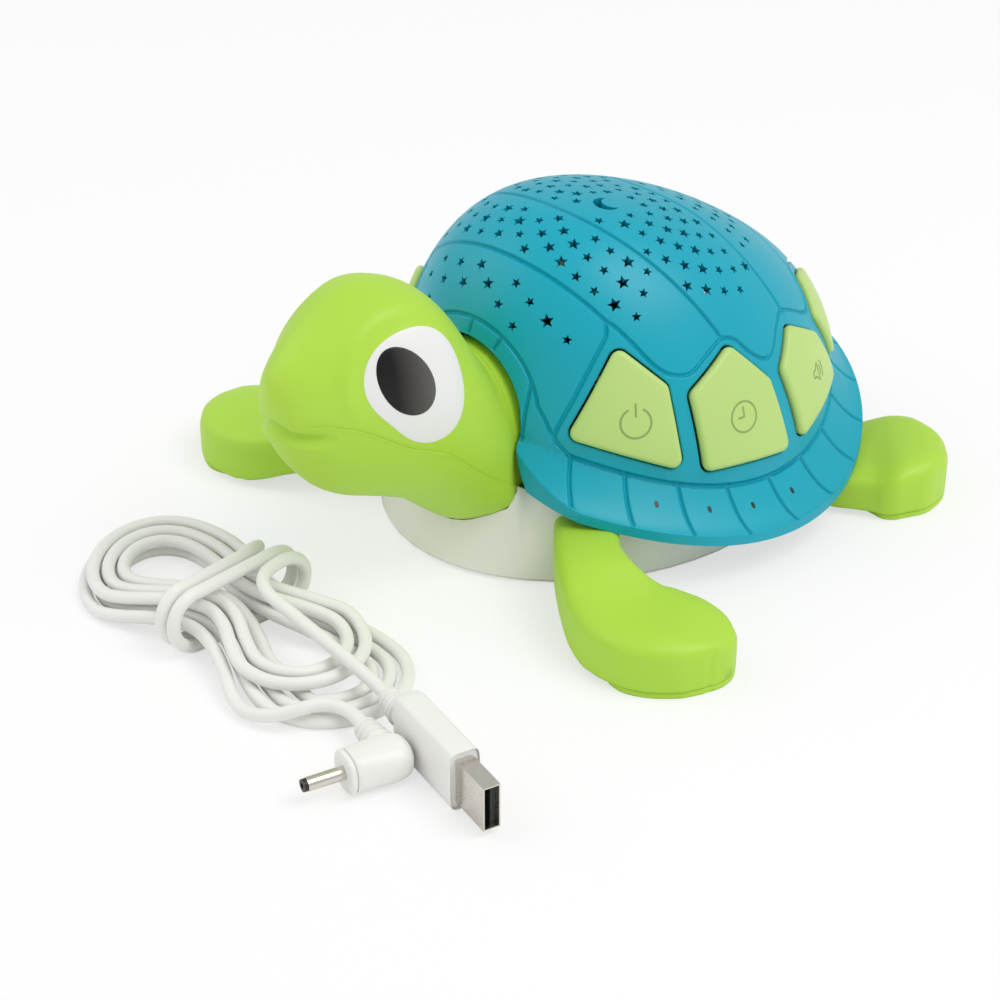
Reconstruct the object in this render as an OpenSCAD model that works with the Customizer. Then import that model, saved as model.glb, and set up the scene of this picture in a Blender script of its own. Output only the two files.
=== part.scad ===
// A turtle-shaped nursery sound machine and star projector, with its power cord beside it.
// Millimetres, +Z up, the head towards -Y, the origin on the floor under the middle of the body.

/* [Shell] */
// Radius of the shell's edge, seen from above
shell_r = 72; // [66:0.5:78]
// Place of the shell's axis behind the middle of the part
shell_y = 26.7; // [25.7:0.1:27.7]
// Height of the shell's edge at the sides
edge_z = 9.8; // [8:0.2:12]
// How much higher the edge runs at the front and rear
saddle_h = 19; // [16:0.5:21]
// Height of the upright lip round the edge
lip_h = 3; // [2:0.25:4]
// Height of the brim's upper line over the edge
brim_h = 13; // [11:0.5:15]
// Width of the sloping brim, seen from above
brim_w = 10; // [8:0.5:12]
// Height of the dome's top over the edge
dome_h = 78; // [72:1:84]
// How far the dome leans down towards its rear
dome_lean = 15; // [12:0.5:17]
// Wall of the shell
shell_wall = 2.5; // [2:0.1:3]

/* [Buttons] */
// How far a button stands proud of the shell
button_proud = 1.3; // [0.6:0.1:1.6]
// Gap round a button in its opening
button_gap = 0.4; // [0.3:0.05:0.6]
// How far a button travels
button_travel = 1.2; // [0.8:0.1:1.5]
// Radius of a button's corners
button_corner = 3; // [2:0.5:4]

/* [Star field] */
// Radius of the field of star holes, seen from above
star_field_r = 45.5; // [36:0.5:46]
// Number of places in the star field
star_places = 245; // [80:1:260]
// Outer radius of a middle-sized star
star_size = 1.75; // [1.2:0.05:2]

/* [Neck opening] */
// Radius of the arch over the neck
arch_r = 20.5; // [20:0.25:22]
// Height of the arch's middle
arch_z = 42; // [41:0.5:43]

/* [Head] */
// Wall of the head's two halves
head_wall = 2.4; // [2:0.1:3]
// Gap at the seam between the head's two halves
seam_gap = 0.15; // [0.1:0.05:0.3]
// Mean radius of an eye
eye_r = 14.5; // [12.5:0.1:15]
// Mean radius of a pupil
pupil_r = 8.1; // [6.5:0.1:8.6]
// Gap round an eye and a pupil
eye_gap = 0.12; // [0.05:0.01:0.2]

/* [Base] */
// How far the base stands in from the shell's edge at the sides
base_in_x = 16; // [15:0.5:18]
// How far the base's length falls short of the shell's at each end
base_in_y = 5; // [4:0.5:8]
// Wall of the base
base_wall = 2.4; // [2:0.1:3]
// Radius of a foot
foot_r = 5; // [4:0.25:6]
// How far the feet hold the base off the floor
foot_h = 0.8; // [0.6:0.1:1.5]

/* [Flippers] */
// Thickness of a flipper's paddle
paddle_h = 15.4; // [13:0.2:18]
// Thickness of a flipper's sole
sole_h = 2; // [1.5:0.1:3]
// Gap between a flipper and the base, and between a flipper and its sole
flipper_gap = 0.25; // [0.2:0.05:0.4]

/* [Inside] */
// Height of the deck that carries the lamp and the switches
deck_z = 29; // [27:0.5:31]
// Thickness of the deck
deck_t = 2; // [1.5:0.1:3]
// How far the deck stands in from the shell's edge
deck_in = 19.5; // [17.5:0.5:20]
// Radius of the loudspeaker
speaker_r = 25; // [20:0.5:26]
// Height of the loudspeaker
speaker_h = 17; // [14:0.5:19]
// Radius of a screw's shank
screw_r = 1.5; // [1.25:0.05:1.75]
// Clearance round a screw's shank
screw_gap = 0.1; // [0.05:0.01:0.15]

/* [Power cord] */
// Diameter of the cord
cord_d = 3.5; // [3.5:0.01:3.6]
// Radius of the power plug's barrel
barrel_r = 1.75; // [1.7:0.05:2]
// Length of the power plug's barrel
barrel_len = 9.5; // [8:0.5:10]

/* [Hidden] */
LIME = [0.64, 0.82, 0.25];
PALE_LIME = [0.74, 0.87, 0.5];
TEAL = [0.1, 0.62, 0.74];
IVORY = [0.93, 0.93, 0.9];
BLACK = [0.12, 0.12, 0.12];
STEEL = [0.75, 0.75, 0.75];
GREEN_BOARD = [0.1, 0.4, 0.2];

// The dome's roundness seen from above and from the side, and how the edge's rise fades upwards
round_plan = 2.55;
round_side = 1.55;
saddle_fade = 3;
brim_cove = 1.35;
ring_r = shell_r - brim_w;

// The other pieces' plan was drawn for a shell of this radius, about its axis, and grows with the shell
drawn_r = 72;
plan_k = shell_r / drawn_r;
function plan(p) = [plan_k * p.x, shell_y + plan_k * p.y];
base_rx = shell_r - base_in_x;
base_ry = shell_r - base_in_y;
deck_r = shell_r - deck_in;

// Round shapes and small gaps
$fn = 48;
touch_gap = 0.3;
cut = 40;

function unit(v) = v / norm(v);
function sum(list, i = 0) = i == len(list) - 1 ? list[i] : list[i] + sum(list, i + 1);
function mean(pts) = sum(pts) / len(pts);
function oval(rx, ry, n = 48) = [for (i = [0:n - 1]) let(a = 360 * i / n) [rx * cos(a), ry * sin(a)]];
function spow(v, e) = sign(v) * pow(abs(v), e);

// A closed solid through rows of points, with a fan at each end
module loft(rows) {
    n = len(rows[0]);
    m = len(rows);
    points = concat([for (row = rows) each row], [mean(rows[0]), mean(rows[m - 1])]);
    sides = [for (i = [0:m - 2], j = [0:n - 1]) let(a = i * n + j, b = i * n + (j + 1) % n) each
        [[a, b, b + n], [a, b + n, a + n]]];
    first = [for (j = [0:n - 1]) [m * n, (j + 1) % n, j]];
    last = [for (j = [0:n - 1]) [m * n + 1, (m - 1) * n + j, (m - 1) * n + (j + 1) % n]];
    polyhedron(points, concat(sides, first, last));
}

// Moves a shape into the frame of a place with its outward normal
function side_of(n) = unit(cross([0, 0, 1], n));
module at_place(place) {
    c = place[0];
    n = place[1];
    u = side_of(n);
    v = cross(n, u);
    multmatrix([[u.x, v.x, n.x, c.x], [u.y, v.y, n.y, c.y], [u.z, v.z, n.z, c.z], [0, 0, 0, 1]]) children();
}
function local(place, p) = let(u = side_of(place[1]), d = p - place[0]) [d * u, d * cross(place[1], u)];

// A convex outline moved outwards by d, each corner where its two moved sides meet
function grown(pts, d) = let(n = len(pts)) [for (i = [0:n - 1])
    let(a = pts[(i + n - 1) % n], b = pts[i], c = pts[(i + 1) % n], e = unit(b - a), f = unit(c - b),
        en = [e.y, -e.x], fn = [f.y, -f.x])
    b + d * (en + fn) / (1 + en * fn)];

// An outline with its corners rounded
function rounded(pts, r, steps = 4) = let(n = len(pts)) [for (i = [0:n - 1])
    let(a = pts[(i + n - 1) % n], b = pts[i], c = pts[(i + 1) % n], e = unit(b - a), f = unit(c - b),
        turn = acos(e * f), o = b - r * tan(turn / 2) * e + r * [-e.y, e.x], start = atan2(-e.x, e.y))
    each [for (k = [0:steps]) let(g = start + turn * k / steps) o + r * [cos(g), sin(g)]]];

// How far out the brim reaches at the azimuth whose sine is s: it draws in towards the arch's feet
draw_from = 36;
draw_over = 18;
draw_in = 0.85;
function brim_share(s) = 1 - draw_in * pow(min(max((draw_from - acos(-s)) / draw_over, 0), 1), 1.2);
// The shell's outer skin: azimuth a, and w from 0 at the top to 90 at the brim's line and 100 at the lip
function skin(a, w) = let(s = sin(a), q = w < 90 ? pow(sin(w), 2 / round_plan) : 1,
    t = max(w - 90, 0) / 10 * brim_share(s), r = ring_r * q + brim_w * t)
    [r * cos(a), shell_y + r * s, edge_z + saddle_h * s * s * pow(q, saddle_fade) + (w < 90
        ? brim_h + (dome_h - brim_h) * pow(cos(w), 2 / round_side) - dome_lean * q * s * (1 - pow(q, 4))
        : lip_h + (brim_h - lip_h) * pow(1 - t, brim_cove))];
function skin_n(a, w) = let(v = min(max(w, 2), 99), du = skin(a + 1, v) - skin(a - 1, v),
    dv = skin(a, v + 0.5) - skin(a, v - 0.5)) unit(cross(dv, du));
function skin_at(a, w, d) = skin(a, w) + d * skin_n(a, w);
function skin_place(a, w) = [skin(a, w), skin_n(a, w)];
// The same place found from above
function plan_a(x, y) = atan2(y - shell_y, x);
function plan_w(x, y) = asin(pow(min(norm([x, y - shell_y]) / ring_r, 1), round_plan / 2));

// A block that follows the skin between two depths
module skin_block(a0, a1, w0, w1, d_out, d_in, na = 6, nw = 6) {
    loft([for (i = [0:nw]) let(w = w0 + (w1 - w0) * i / nw) concat(
        [for (k = [0:na]) skin_at(a0 + (a1 - a0) * k / na, w, d_out)],
        [for (k = [na:-1:0]) skin_at(a0 + (a1 - a0) * k / na, w, d_in)])]);
}

// Shell
rows_a = [for (i = [0:63]) 360 * i / 64];
dome_w = [9, 18, 27, 36, 45, 54, 63, 72, 80, 86, 89.5];
brim_rows = [92.5, 95, 97.5];
module shell_body() {
    lip = [for (a = rows_a) skin(a, 100)];
    low = [for (k = [0:len(lip) - 1]) [lip[k].x, lip[k].y, edge_z + saddle_h * pow(sin(rows_a[k]), 2)]];
    in_k = (shell_r - shell_wall) / shell_r;
    low_in = [for (p = low) [p.x * in_k, shell_y + (p.y - shell_y) * in_k, p.z]];
    loft(concat([for (w = concat(dome_w, brim_rows)) [for (a = rows_a) skin(a, w)]], [lip, low, low_in],
        [for (w = concat([97, 94.5, 92], [86, 80, 72, 63, 54, 45, 36, 27, 18, 9]))
            [for (a = rows_a) skin_at(a, w, -shell_wall)]]));
}

// Corners of the left buttons on the skin, from front to rear, each as [azimuth, w]
button_corners = [
    [[-28.9, 84.2], [-32.5, 61], [-47.4, 54.3], [-59.8, 83]],
    [[4.2, 82.8], [1, 60.4], [-11.8, 50.3], [-27.8, 62.6], [-24.7, 84]],
    [[37.5, 82.5], [32, 60.5], [17.5, 51], [5.5, 60], [8.4, 82.5]],
    [[70, 82.5], [63, 60], [50, 51.5], [37.5, 60.5], [42.5, 82.5]]];
button_mid = [[-42, 68], [-11.5, 68], [21, 68], [53, 68]];
function button_place(i) = skin_place(button_mid[i][0], button_mid[i][1]);
function button_outline(i) = [for (c = button_corners[i]) local(button_place(i), skin(c[0], c[1]))];
button_flange = 0.75;
flange_t = 1.2;
flange_d = shell_wall + touch_gap;
stem_r = 2.5;
stem_d = flange_d + flange_t + 2;
plunger_d = stem_d + button_travel + touch_gap;
switch_d = plunger_d + 1;
switch_h = 3.5;
board_d = switch_d + switch_h;
board_t = 1.2;
tab_d = board_d + board_t;
tab_t = 2;
board_w = 11;
seat = 0.05;

module button_prism(i, grow, d0, d1) {
    at_place(button_place(i)) translate([0, 0, d0]) linear_extrude(d1 - d0)
        polygon(rounded(grown(button_outline(i), grow), max(button_corner + grow, 1)));
}
module button_shape(i) {
    c = button_corners[i];
    a0 = min([for (p = c) p[0]]) - 6;
    a1 = max([for (p = c) p[0]]) + 6;
    intersection() {
        skin_block(a0, a1, 46, 88.5, button_proud, -flange_d - flange_t / 2);
        button_prism(i, -button_gap, -12, 14);
    }
    intersection() {
        skin_block(a0, a1, 46, 88.5, -flange_d, -flange_d - flange_t);
        button_prism(i, button_flange, -12, 14);
    }
    at_place(button_place(i)) translate([0, 0, -stem_d])
        cylinder(r = stem_r, h = stem_d - flange_d - flange_t / 2);
}
module both_sides() {
    children();
    mirror([1, 0, 0]) children();
}

// Star holes: a sunflower of places, their size and turn from the place's number
star_y = plan([0, -12]).y;
boss_places = [plan([40.8, -22.5]), plan([36, 25.5])];
boss_r = 3.6;
groove_lines = [[plan([0, -45.1]).y, 0.0062], [plan([0, -26.9]).y, 0.0066], [plan([0, 8.4]).y, 0.004]];
function star_xy(i) = let(r = star_field_r * sqrt((i + 0.5) / star_places), a = i * 137.508)
    [r * cos(a), star_y + r * sin(a)];
function star_r(i) = star_size * [0.86, 1.12, 0.98, 1.18, 0.9, 1.05, 0.84][(i * 5 + floor(i / 7)) % 7];
moon_xy = plan([9.5, -14.8]);
moon_r = 3.6;
moon_turn = -45;
arch_room = 6;
function star_free(p, r) = min([for (g = groove_lines) abs(p.y - g[0] - g[1] * p.x * p.x)]) > r + 0.7
    && norm(p - moon_xy) > moon_r + r + 1
    && norm([p.x, skin(plan_a(p.x, p.y), plan_w(p.x, p.y)).z - arch_z]) > arch_r + arch_room + r
    && min([for (b = boss_places) norm([abs(p.x), p.y] - b)]) > boss_r + r + 0.5;
module star_holes() {
    for (i = [0:star_places - 1]) let(p = star_xy(i), r = star_r(i)) if (star_free(p, r))
        at_place(skin_place(plan_a(p.x, p.y), plan_w(p.x, p.y))) rotate([0, 0, i * 47]) translate([0, 0, -4])
            linear_extrude(6) polygon([for (k = [0:9]) let(e = k % 2 == 0 ? r : r * 0.45)
                [e * cos(36 * k), e * sin(36 * k)]]);
    at_place(skin_place(plan_a(moon_xy.x, moon_xy.y), plan_w(moon_xy.x, moon_xy.y))) translate([0, 0, -4])
        linear_extrude(6) rotate([0, 0, moon_turn]) difference() {
            circle(moon_r);
            translate([moon_r * 0.55, 0]) circle(moon_r * 0.8);
        }
}

// Indicator lenses in the brim under the left buttons
lens_a = [-37, -24, -12, 1];
lens_share = 0.4;
lens_w = 90 + 10 * lens_share;
lens_r = 0.9;
lens_gap = 0.1;
module indicator_bores() {
    for (a = lens_a) at_place(skin_place(a, lens_w)) translate([0, 0, -6])
        cylinder(r = lens_r + lens_gap, h = 10);
}

// The arch over the neck, and its feet from the end of the round part down
arch_foot = [[0, -2.5], [0.4, -4.5], [1.1, -7.5], [2.1, -10.5], [3.4, -13.5], [4.9, -16], [6.5, -18]];
module arch_cut() {
    right = concat([for (g = [90:-10:0]) [arch_r * cos(g), arch_z + arch_r * sin(g)]],
        [for (p = arch_foot) [arch_r, arch_z] + p], [[arch_r + arch_foot[len(arch_foot) - 1].x, -1]]);
    left = [for (k = [len(right) - 1:-1:0]) [-right[k].x, right[k].y]];
    translate([0, plan([0, -38]).y, 0]) rotate([90, 0, 0]) linear_extrude(60) polygon(concat(right, left));
}

deck_top = deck_z + deck_t;
screw_in = 10;
module shell() {
    color(TEAL) difference() {
        union() {
            shell_body();
            both_sides() for (b = boss_places) translate([b.x, b.y, deck_top + seat])
                cylinder(r = boss_r, h = skin(plan_a(b.x, b.y), plan_w(b.x, b.y)).z - deck_top - 4);
        }
        arch_cut();
        both_sides() for (i = [0:3]) button_prism(i, 0, -9, 14);
        both_sides() for (b = boss_places) translate([b.x, b.y, deck_top - 1])
            cylinder(r = screw_r + screw_gap, h = screw_in + 2);
        star_holes();
        indicator_bores();
    }
}
module indicator_lenses() {
    color(IVORY) for (a = lens_a) at_place(skin_place(a, lens_w)) translate([0, 0, -4.5])
        cylinder(r = lens_r, h = 4.4);
}
module button_left(i) { color(PALE_LIME) button_shape(i); }
module button_right(i) { color(PALE_LIME) mirror([1, 0, 0]) button_shape(i); }

// Deck with a tab behind each button
deck_front = plan([0, -42]).y;
module deck() {
    color(BLACK) difference() {
        union() {
            translate([0, shell_y, deck_z]) cylinder(r = deck_r, h = deck_t, $fn = 72);
            both_sides() for (i = [0:3]) let(p = button_place(i), v = cross(p[1], side_of(p[1])),
                z = (p[0] - (tab_d + tab_t / 2) * p[1]).z, down = (z - deck_z - deck_t / 2) / v.z)
                at_place(p) translate([-board_w / 2 - 0.5, -down, -tab_d - tab_t])
                    cube([board_w + 1, down + board_w / 2, tab_t]);
        }
        translate([-cut, deck_front - 2 * cut, deck_z - 1]) cube([2 * cut, 2 * cut, deck_t + 2]);
        both_sides() for (b = boss_places) translate([b.x, b.y, deck_z - 1])
            cylinder(r = screw_r + screw_gap, h = deck_t + 2);
    }
}
module switch_boards() {
    color(GREEN_BOARD) both_sides() for (i = [0:3]) at_place(button_place(i))
        translate([-board_w / 2, -board_w / 2, -tab_d + seat]) cube([board_w, board_w, board_t - 2 * seat]);
}
module tact_switches() {
    color(BLACK) both_sides() for (i = [0:3]) at_place(button_place(i)) {
        translate([-3, -3, -board_d + seat]) cube([6, 6, switch_h - seat]);
        translate([0, 0, -switch_d - 0.5]) cylinder(r = 1.75, h = switch_d + 0.5 - plunger_d);
    }
}
pcb_t = 1.6;
lamp_board_r = 14;
led_ring_r = 6;
led_w = 5;
led_h = 1.4;
module led_board() {
    color(IVORY) translate([0, star_y, deck_top + seat]) cylinder(r = lamp_board_r, h = pcb_t);
}
module leds() {
    color([0.95, 0.9, 0.5]) translate([0, star_y, deck_top + pcb_t + 2 * seat]) for (k = [0:2])
        rotate([0, 0, 120 * k]) translate([led_ring_r, 0, 0]) {
            translate([-led_w / 2, -led_w / 2, 0]) cube([led_w, led_w, led_h]);
            translate([0, 0, led_h - 0.4]) cylinder(r = 1.8, h = led_h);
        }
}

// Base: a tub that narrows upwards and follows the shell's edge
base_y = plan([0, -6.5]).y;
base_top_rx = base_rx - 2;
base_top_ry = base_ry - 7;
base_top_y = base_y + 3;
base_top_z = 34;
floor_t = 2.4;
floor_z = foot_h + floor_t;
function base_row(z, g) = let(k = (z - 2) / (base_top_z - 2), rx = base_rx + g + (base_top_rx - base_rx) * k,
    ry = base_ry + g + (base_top_ry - base_ry) * k)
    [for (p = oval(rx, ry)) [p.x, p.y + base_y + (base_top_y - base_y) * k, z]];
module base_solid(g) { loft([base_row(base_top_z, g), base_row(foot_h + 1, g), base_row(foot_h, g - 0.8)]); }
// The rim of the base: up inside the lip, but just under the lip where the brim draws in
rim_up = 8;
rim_under = 0.3;
front_from = plan([0, -50]).y;
front_r = plan_k * 65;
function base_edge(y) = y > front_from ? edge_z + saddle_h * pow((y - shell_y) / shell_r, 2) + rim_up
    : edge_z + saddle_h * pow((y - shell_y) / front_r, 2) - rim_under;
post_r = 4;
post_hole_r = 3;
head_post = plan([9, -55.5]);
head_foot_z = 9.5;
head_post_r = 4.5;
head_post_h = 9.5;
neck_gap = 0.4;
neck_row = 6;
foot_places = [plan([34, -40.5]), plan([22, 46])];
jack_x = 0;
jack_z = 12;
jack_hole_r = 4.2;
speaker_y = plan([0, -22.5]).y;
speaker_post_z = 9;
board_y = plan([0, 22.5]).y;
board_l = base_rx + 6;
board_wd = 36;
board_z = 12;
board_holes = [[board_l / 2 - 5, board_y - 13], [board_l / 2 - 5, board_y + 13]];
speaker_holes = [[21.5, speaker_y - 21.5], [21.5, speaker_y + 21.5]];
hole_r = screw_r + screw_gap;
module screw_hole(p, z0, z1, r = hole_r) { translate([p.x, p.y, z0]) cylinder(r = r, h = z1 - z0); }
module post(p, z, r) { translate([p.x, p.y, foot_h]) cylinder(r = r, h = z - seat - foot_h); }
head_r = 2.8;
head_t = 2;
// Flipper roots where the flippers meet the base wall: place, direction and height
front_root = plan([38, -51]);
front_dir = [0.685, -0.728];
front_root_z = 15.5;
rear_root = plan([50, 22.7]);
rear_dir = [0.824, 0.567];
rear_root_z = 9;
module along(root, dir, z, back) {
    translate([root.x - back * dir.x, root.y - back * dir.y, z]) rotate([0, 90, atan2(dir.y, dir.x)])
        children();
}
grille_step = 5;
grille_hole_r = 1.25;
module base() {
    color(IVORY) difference() {
        union() {
            difference() {
                base_solid(0);
                loft([base_row(base_top_z + 1, -base_wall), base_row(floor_z, -base_wall)]);
                translate([-2 * cut, 0, 0]) rotate([90, 0, 90]) linear_extrude(4 * cut) polygon(concat(
                    [for (y = [-80:10:110]) [y, base_edge(y)]], [[110, 90], [-80, 90]]));
                loft([for (k = [neck_row:len(head_rows) - 1]) head_section(head_rows[k], -neck_gap)]);
            }
            both_sides() {
                for (b = boss_places) post(b, deck_z, post_r);
                post(head_post, head_foot_z, post_r);
                for (b = board_holes) post(b, board_z, post_hole_r);
                for (b = speaker_holes) post(b, speaker_post_z, post_hole_r);
            }
        }
        both_sides() {
            for (b = boss_places) {
                screw_hole(b, -1, deck_z + 1);
                screw_hole(b, -1, foot_h + head_t + seat, head_r + 0.2);
            }
            screw_hole(head_post, -1, head_foot_z + 1);
            screw_hole(head_post, -1, foot_h + head_t + seat, head_r + 0.2);
            for (b = board_holes) screw_hole(b, floor_z, board_z + 1);
            for (b = speaker_holes) screw_hole(b, floor_z, speaker_post_z + 1);
            for (f = foot_places) translate([f.x, f.y, -1]) cylinder(r = foot_r + 0.1, h = foot_h + 2);
            along(front_root, front_dir, front_root_z, 8) cylinder(r = hole_r, h = 16);
            along(rear_root, rear_dir, rear_root_z, 8) cylinder(r = hole_r, h = 16);
        }
        translate([0, speaker_y, -1]) for (ring = [0:3], k = [0:max(ring * 6 - 1, 0)])
            rotate([0, 0, 60 * k / max(ring, 1)]) translate([ring * grille_step, 0, 0])
                cylinder(r = grille_hole_r, h = 8, $fn = 16);
        translate([jack_x, base_y + base_ry - 6, jack_z]) rotate([-90, 0, 0])
            cylinder(r = jack_hole_r, h = 12);
    }
}
module feet() {
    color(BLACK) both_sides() for (f = foot_places) translate([f.x, f.y, 0])
        cylinder(r = foot_r, h = foot_h + 1 - seat);
}
// A screw with a round head at the origin and its shank up the Z axis
module screw(len) {
    cylinder(r = head_r, h = head_t);
    translate([0, 0, head_t - 0.5]) cylinder(r = screw_r, h = len + 0.5);
}
module base_screws() {
    color(STEEL) both_sides() for (b = boss_places) translate([b.x, b.y, foot_h])
        screw(deck_top + screw_in - foot_h - head_t);
}
module head_screws() {
    color(STEEL) both_sides() translate([head_post.x, head_post.y, foot_h])
        screw(head_foot_z + head_post_h - 1.5 - foot_h - head_t);
}
module flipper_screws() {
    color(STEEL) both_sides() {
        along(front_root, front_dir, front_root_z, base_wall + head_t + 2.2) screw(10);
        along(rear_root, rear_dir, rear_root_z, base_wall + head_t + 2.2) screw(10);
    }
}

// Electronics in the tub
module main_board() {
    color(GREEN_BOARD) difference() {
        translate([-board_l / 2, board_y - board_wd / 2, board_z]) cube([board_l, board_wd, pcb_t]);
        both_sides() for (b = board_holes) screw_hole(b, board_z - 1, board_z + 3);
    }
}
module board_parts() {
    z = board_z + pcb_t + seat;
    color(BLACK) {
        translate([-9, board_y - 6, z]) cube([12, 12, 1.8]);
        translate([8, board_y - 10, z]) cube([8, 6, 1.6]);
        for (x = [-20, -14]) translate([x, board_y + 8, z]) cylinder(r = 2.6, h = 9);
        translate([10, board_y + 4, z]) cube([9, 6, 5]);
    }
}
module board_screws() {
    color(STEEL) both_sides() for (b = board_holes) translate([b.x, b.y, board_z + pcb_t + head_t + seat])
        mirror([0, 0, 1]) screw(7);
}
speaker_z = floor_z + seat;
magnet_r = 14;
magnet_h = 7;
module speaker_frame() {
    color(STEEL) difference() {
        union() {
            translate([0, speaker_y, speaker_z]) cylinder(r = speaker_r, h = 3);
            translate([0, speaker_y, speaker_z + 2])
                cylinder(r1 = speaker_r - 2, r2 = magnet_r - 1, h = speaker_h - 8);
        }
        translate([0, speaker_y, speaker_z - 1]) cylinder(r = speaker_r - 3, h = 3);
        translate([0, speaker_y, speaker_z + 1.9]) cylinder(r1 = speaker_r - 3, r2 = 10, h = speaker_h - 9);
        translate([0, speaker_y, speaker_z]) cylinder(r = 6, h = speaker_h);
    }
}
module speaker_cone() {
    color(BLACK) translate([0, speaker_y, 0]) rotate_extrude() polygon([
        [0, speaker_z + 5], [5, speaker_z + 5], [19, speaker_z + 0.6], [21.5, speaker_z + 0.6],
        [21.5, speaker_z + 1.4], [19.3, speaker_z + 1.4], [5.5, speaker_z + 6], [0, speaker_z + 6]]);
}
module speaker_magnet() {
    color([0.3, 0.3, 0.32]) translate([0, speaker_y, speaker_z + speaker_h - 6 + seat])
        cylinder(r = magnet_r, h = magnet_h);
}
module speaker_screws() {
    color(STEEL) both_sides() for (b = speaker_holes) translate([b.x, b.y, speaker_post_z + head_t + seat])
        mirror([0, 0, 1]) screw(5);
}
jack_y = base_y + base_ry - 16;
module dc_jack() {
    color(BLACK) {
        difference() {
            translate([jack_x - 4.5, jack_y, jack_z - 4]) cube([9, 11, 8]);
            translate([jack_x, jack_y + 1.5, jack_z]) rotate([-90, 0, 0])
                cylinder(r = barrel_r + 0.15, h = 20);
        }
        translate([jack_x, jack_y + 1, jack_z]) rotate([-90, 0, 0]) cylinder(r = 0.6, h = 9);
    }
}

// Head: sections along Y from the shell's axis, each with half width, top and bottom
head_rows = [[-125.4, 3.2, 71.8, 63.6], [-124.4, 5.8, 73.9, 56.5], [-121.9, 8.7, 76.9, 50],
    [-117.9, 11.6, 80, 44.2], [-112.9, 14.3, 83.6, 38.7], [-106.9, 16.9, 87, 34.6], [-99.9, 19.6, 89.3, 31.6],
    [-92.9, 22.2, 89.8, 28.8], [-85.9, 23.5, 88.2, 25.2], [-79.9, 23.1, 85, 20.6], [-73.9, 22.6, 79, 15.6],
    [-68.9, 22.2, 71.5, 12.2], [-63.5, 21.4, 63, 11], [-60.5, 20.1, 61.3, 11], [-58.5, 19.4, 60.3, 11.2],
    [-46.5, 19, 59, 13.5]];
head_round = 2.1;
// How much wider than an oval the neck is, low down where it passes the shell
neck_full = 0.24;
neck_full_at = [-60, 20];
neck_full_reach = [9, 8];
function fuller(y, z) = 1 + neck_full * exp(-pow((y - neck_full_at.x) / neck_full_reach.x, 2)
    - pow((z - neck_full_at.y) / neck_full_reach.y, 2));
function head_section(r, d) = [for (i = [0:27]) let(a = 360 * i / 28,
    z = (r[2] + r[3]) / 2 + ((r[2] - r[3]) / 2 - d) * spow(sin(a), 2 / head_round))
    [(r[1] - d) * spow(cos(a), 2 / head_round) * fuller(r[0], z), plan([0, r[0]]).y, z]];
module head_outer() { loft([for (r = head_rows) head_section(r, 0)]); }
module head_inner() {
    loft(concat([for (k = [2:14]) head_section(head_rows[k], head_wall)],
        [head_section([-45.5, 19, 59, 13.5], head_wall)]));
}
seam_line = [[-138, 61.5], [-119.5, 62], [-114.9, 61], [-109.5, 58.9], [-103.5, 55.2], [-97.5, 51.2],
    [-91, 48.5], [-85, 45.1], [-77.2, 38.3], [-68.5, 31], [-58.5, 26], [-38, 26]];
module seam_side(up, gap) {
    translate([-cut, 0, 0]) rotate([90, 0, 90]) linear_extrude(2 * cut) polygon(concat(
        [for (p = seam_line) [plan([0, p.x]).y, p.y + gap]],
        [for (y = [-38, -138]) [plan([0, y]).y, up ? 120 : -10]]));
}
// Eyes: rounded outlines in a plane that touches the side of the head
eye_place = [[19.5, plan([0, -94.5]).y, 67], unit([0.964, -0.182, 0.193])];
eye_mid = [0.9, 0.7];
pupil_mid = [-3.25, 2.9];
eye_t = 2.4;
pupil_t = 1.2;
function egg(mid, r, wide, turn2, point, turn3, g, n) = [for (i = [0:n - 1]) let(a = 360 * i / n)
    mid + (r * (1 - wide * cos(2 * (a - turn2)) + point * cos(3 * (a - turn3))) + g) * [cos(a), sin(a)]];
function eye_line(g) = egg(eye_mid, eye_r, 0.093, 34.7, 0.07, 51.7, g, 40);
pupil_turn = 120.3;
pupil_long = 1.21;
pupil_wide = 0.79;
function pupil_line(g) = let(u = [cos(pupil_turn), sin(pupil_turn)]) [for (i = [0:31]) let(a = 360 * i / 32)
    pupil_mid + (pupil_r * pupil_long + g) * cos(a) * u + (pupil_r * pupil_wide + g) * sin(a) * [-u.y, u.x]];
module eye_prism(g, d0, d1) {
    at_place(eye_place) translate([0, 0, d0]) linear_extrude(d1 - d0) polygon(eye_line(g));
}
module pupil_prism(g, d0, d1) {
    at_place(eye_place) translate([0, 0, d0]) linear_extrude(d1 - d0) polygon(pupil_line(g));
}
module eye_core(d) { loft([for (k = [2:11]) head_section(head_rows[k], d)]); }
module head_hollow() {
    difference() {
        head_outer();
        head_inner();
    }
}
module head_upper() {
    color(LIME) difference() {
        head_hollow();
        seam_side(false, seam_gap);
        both_sides() eye_prism(eye_gap, -9, 14);
    }
}
module head_lower() {
    color(LIME) difference() {
        union() {
            difference() {
                head_hollow();
                seam_side(true, 0);
            }
            both_sides() translate([head_post.x, head_post.y, head_foot_z])
                cylinder(r = head_post_r, h = head_post_h);
        }
        both_sides() screw_hole(head_post, head_foot_z - 1, head_foot_z + head_post_h - 1);
    }
}
module eye_white_shape() {
    difference() {
        intersection() {
            eye_prism(0, -12, 6);
            eye_core(0);
        }
        eye_core(eye_t);
        difference() {
            pupil_prism(eye_gap, -12, 6);
            eye_core(pupil_t);
        }
    }
}
module pupil_shape() {
    difference() {
        intersection() {
            pupil_prism(0, -12, 6);
            eye_core(0);
        }
        eye_core(pupil_t - seat);
    }
}
module eye_white_left() { color(IVORY) eye_white_shape(); }
module eye_white_right() { color(IVORY) mirror([1, 0, 0]) eye_white_shape(); }
module pupil_left() { color(BLACK) pupil_shape(); }
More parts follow.
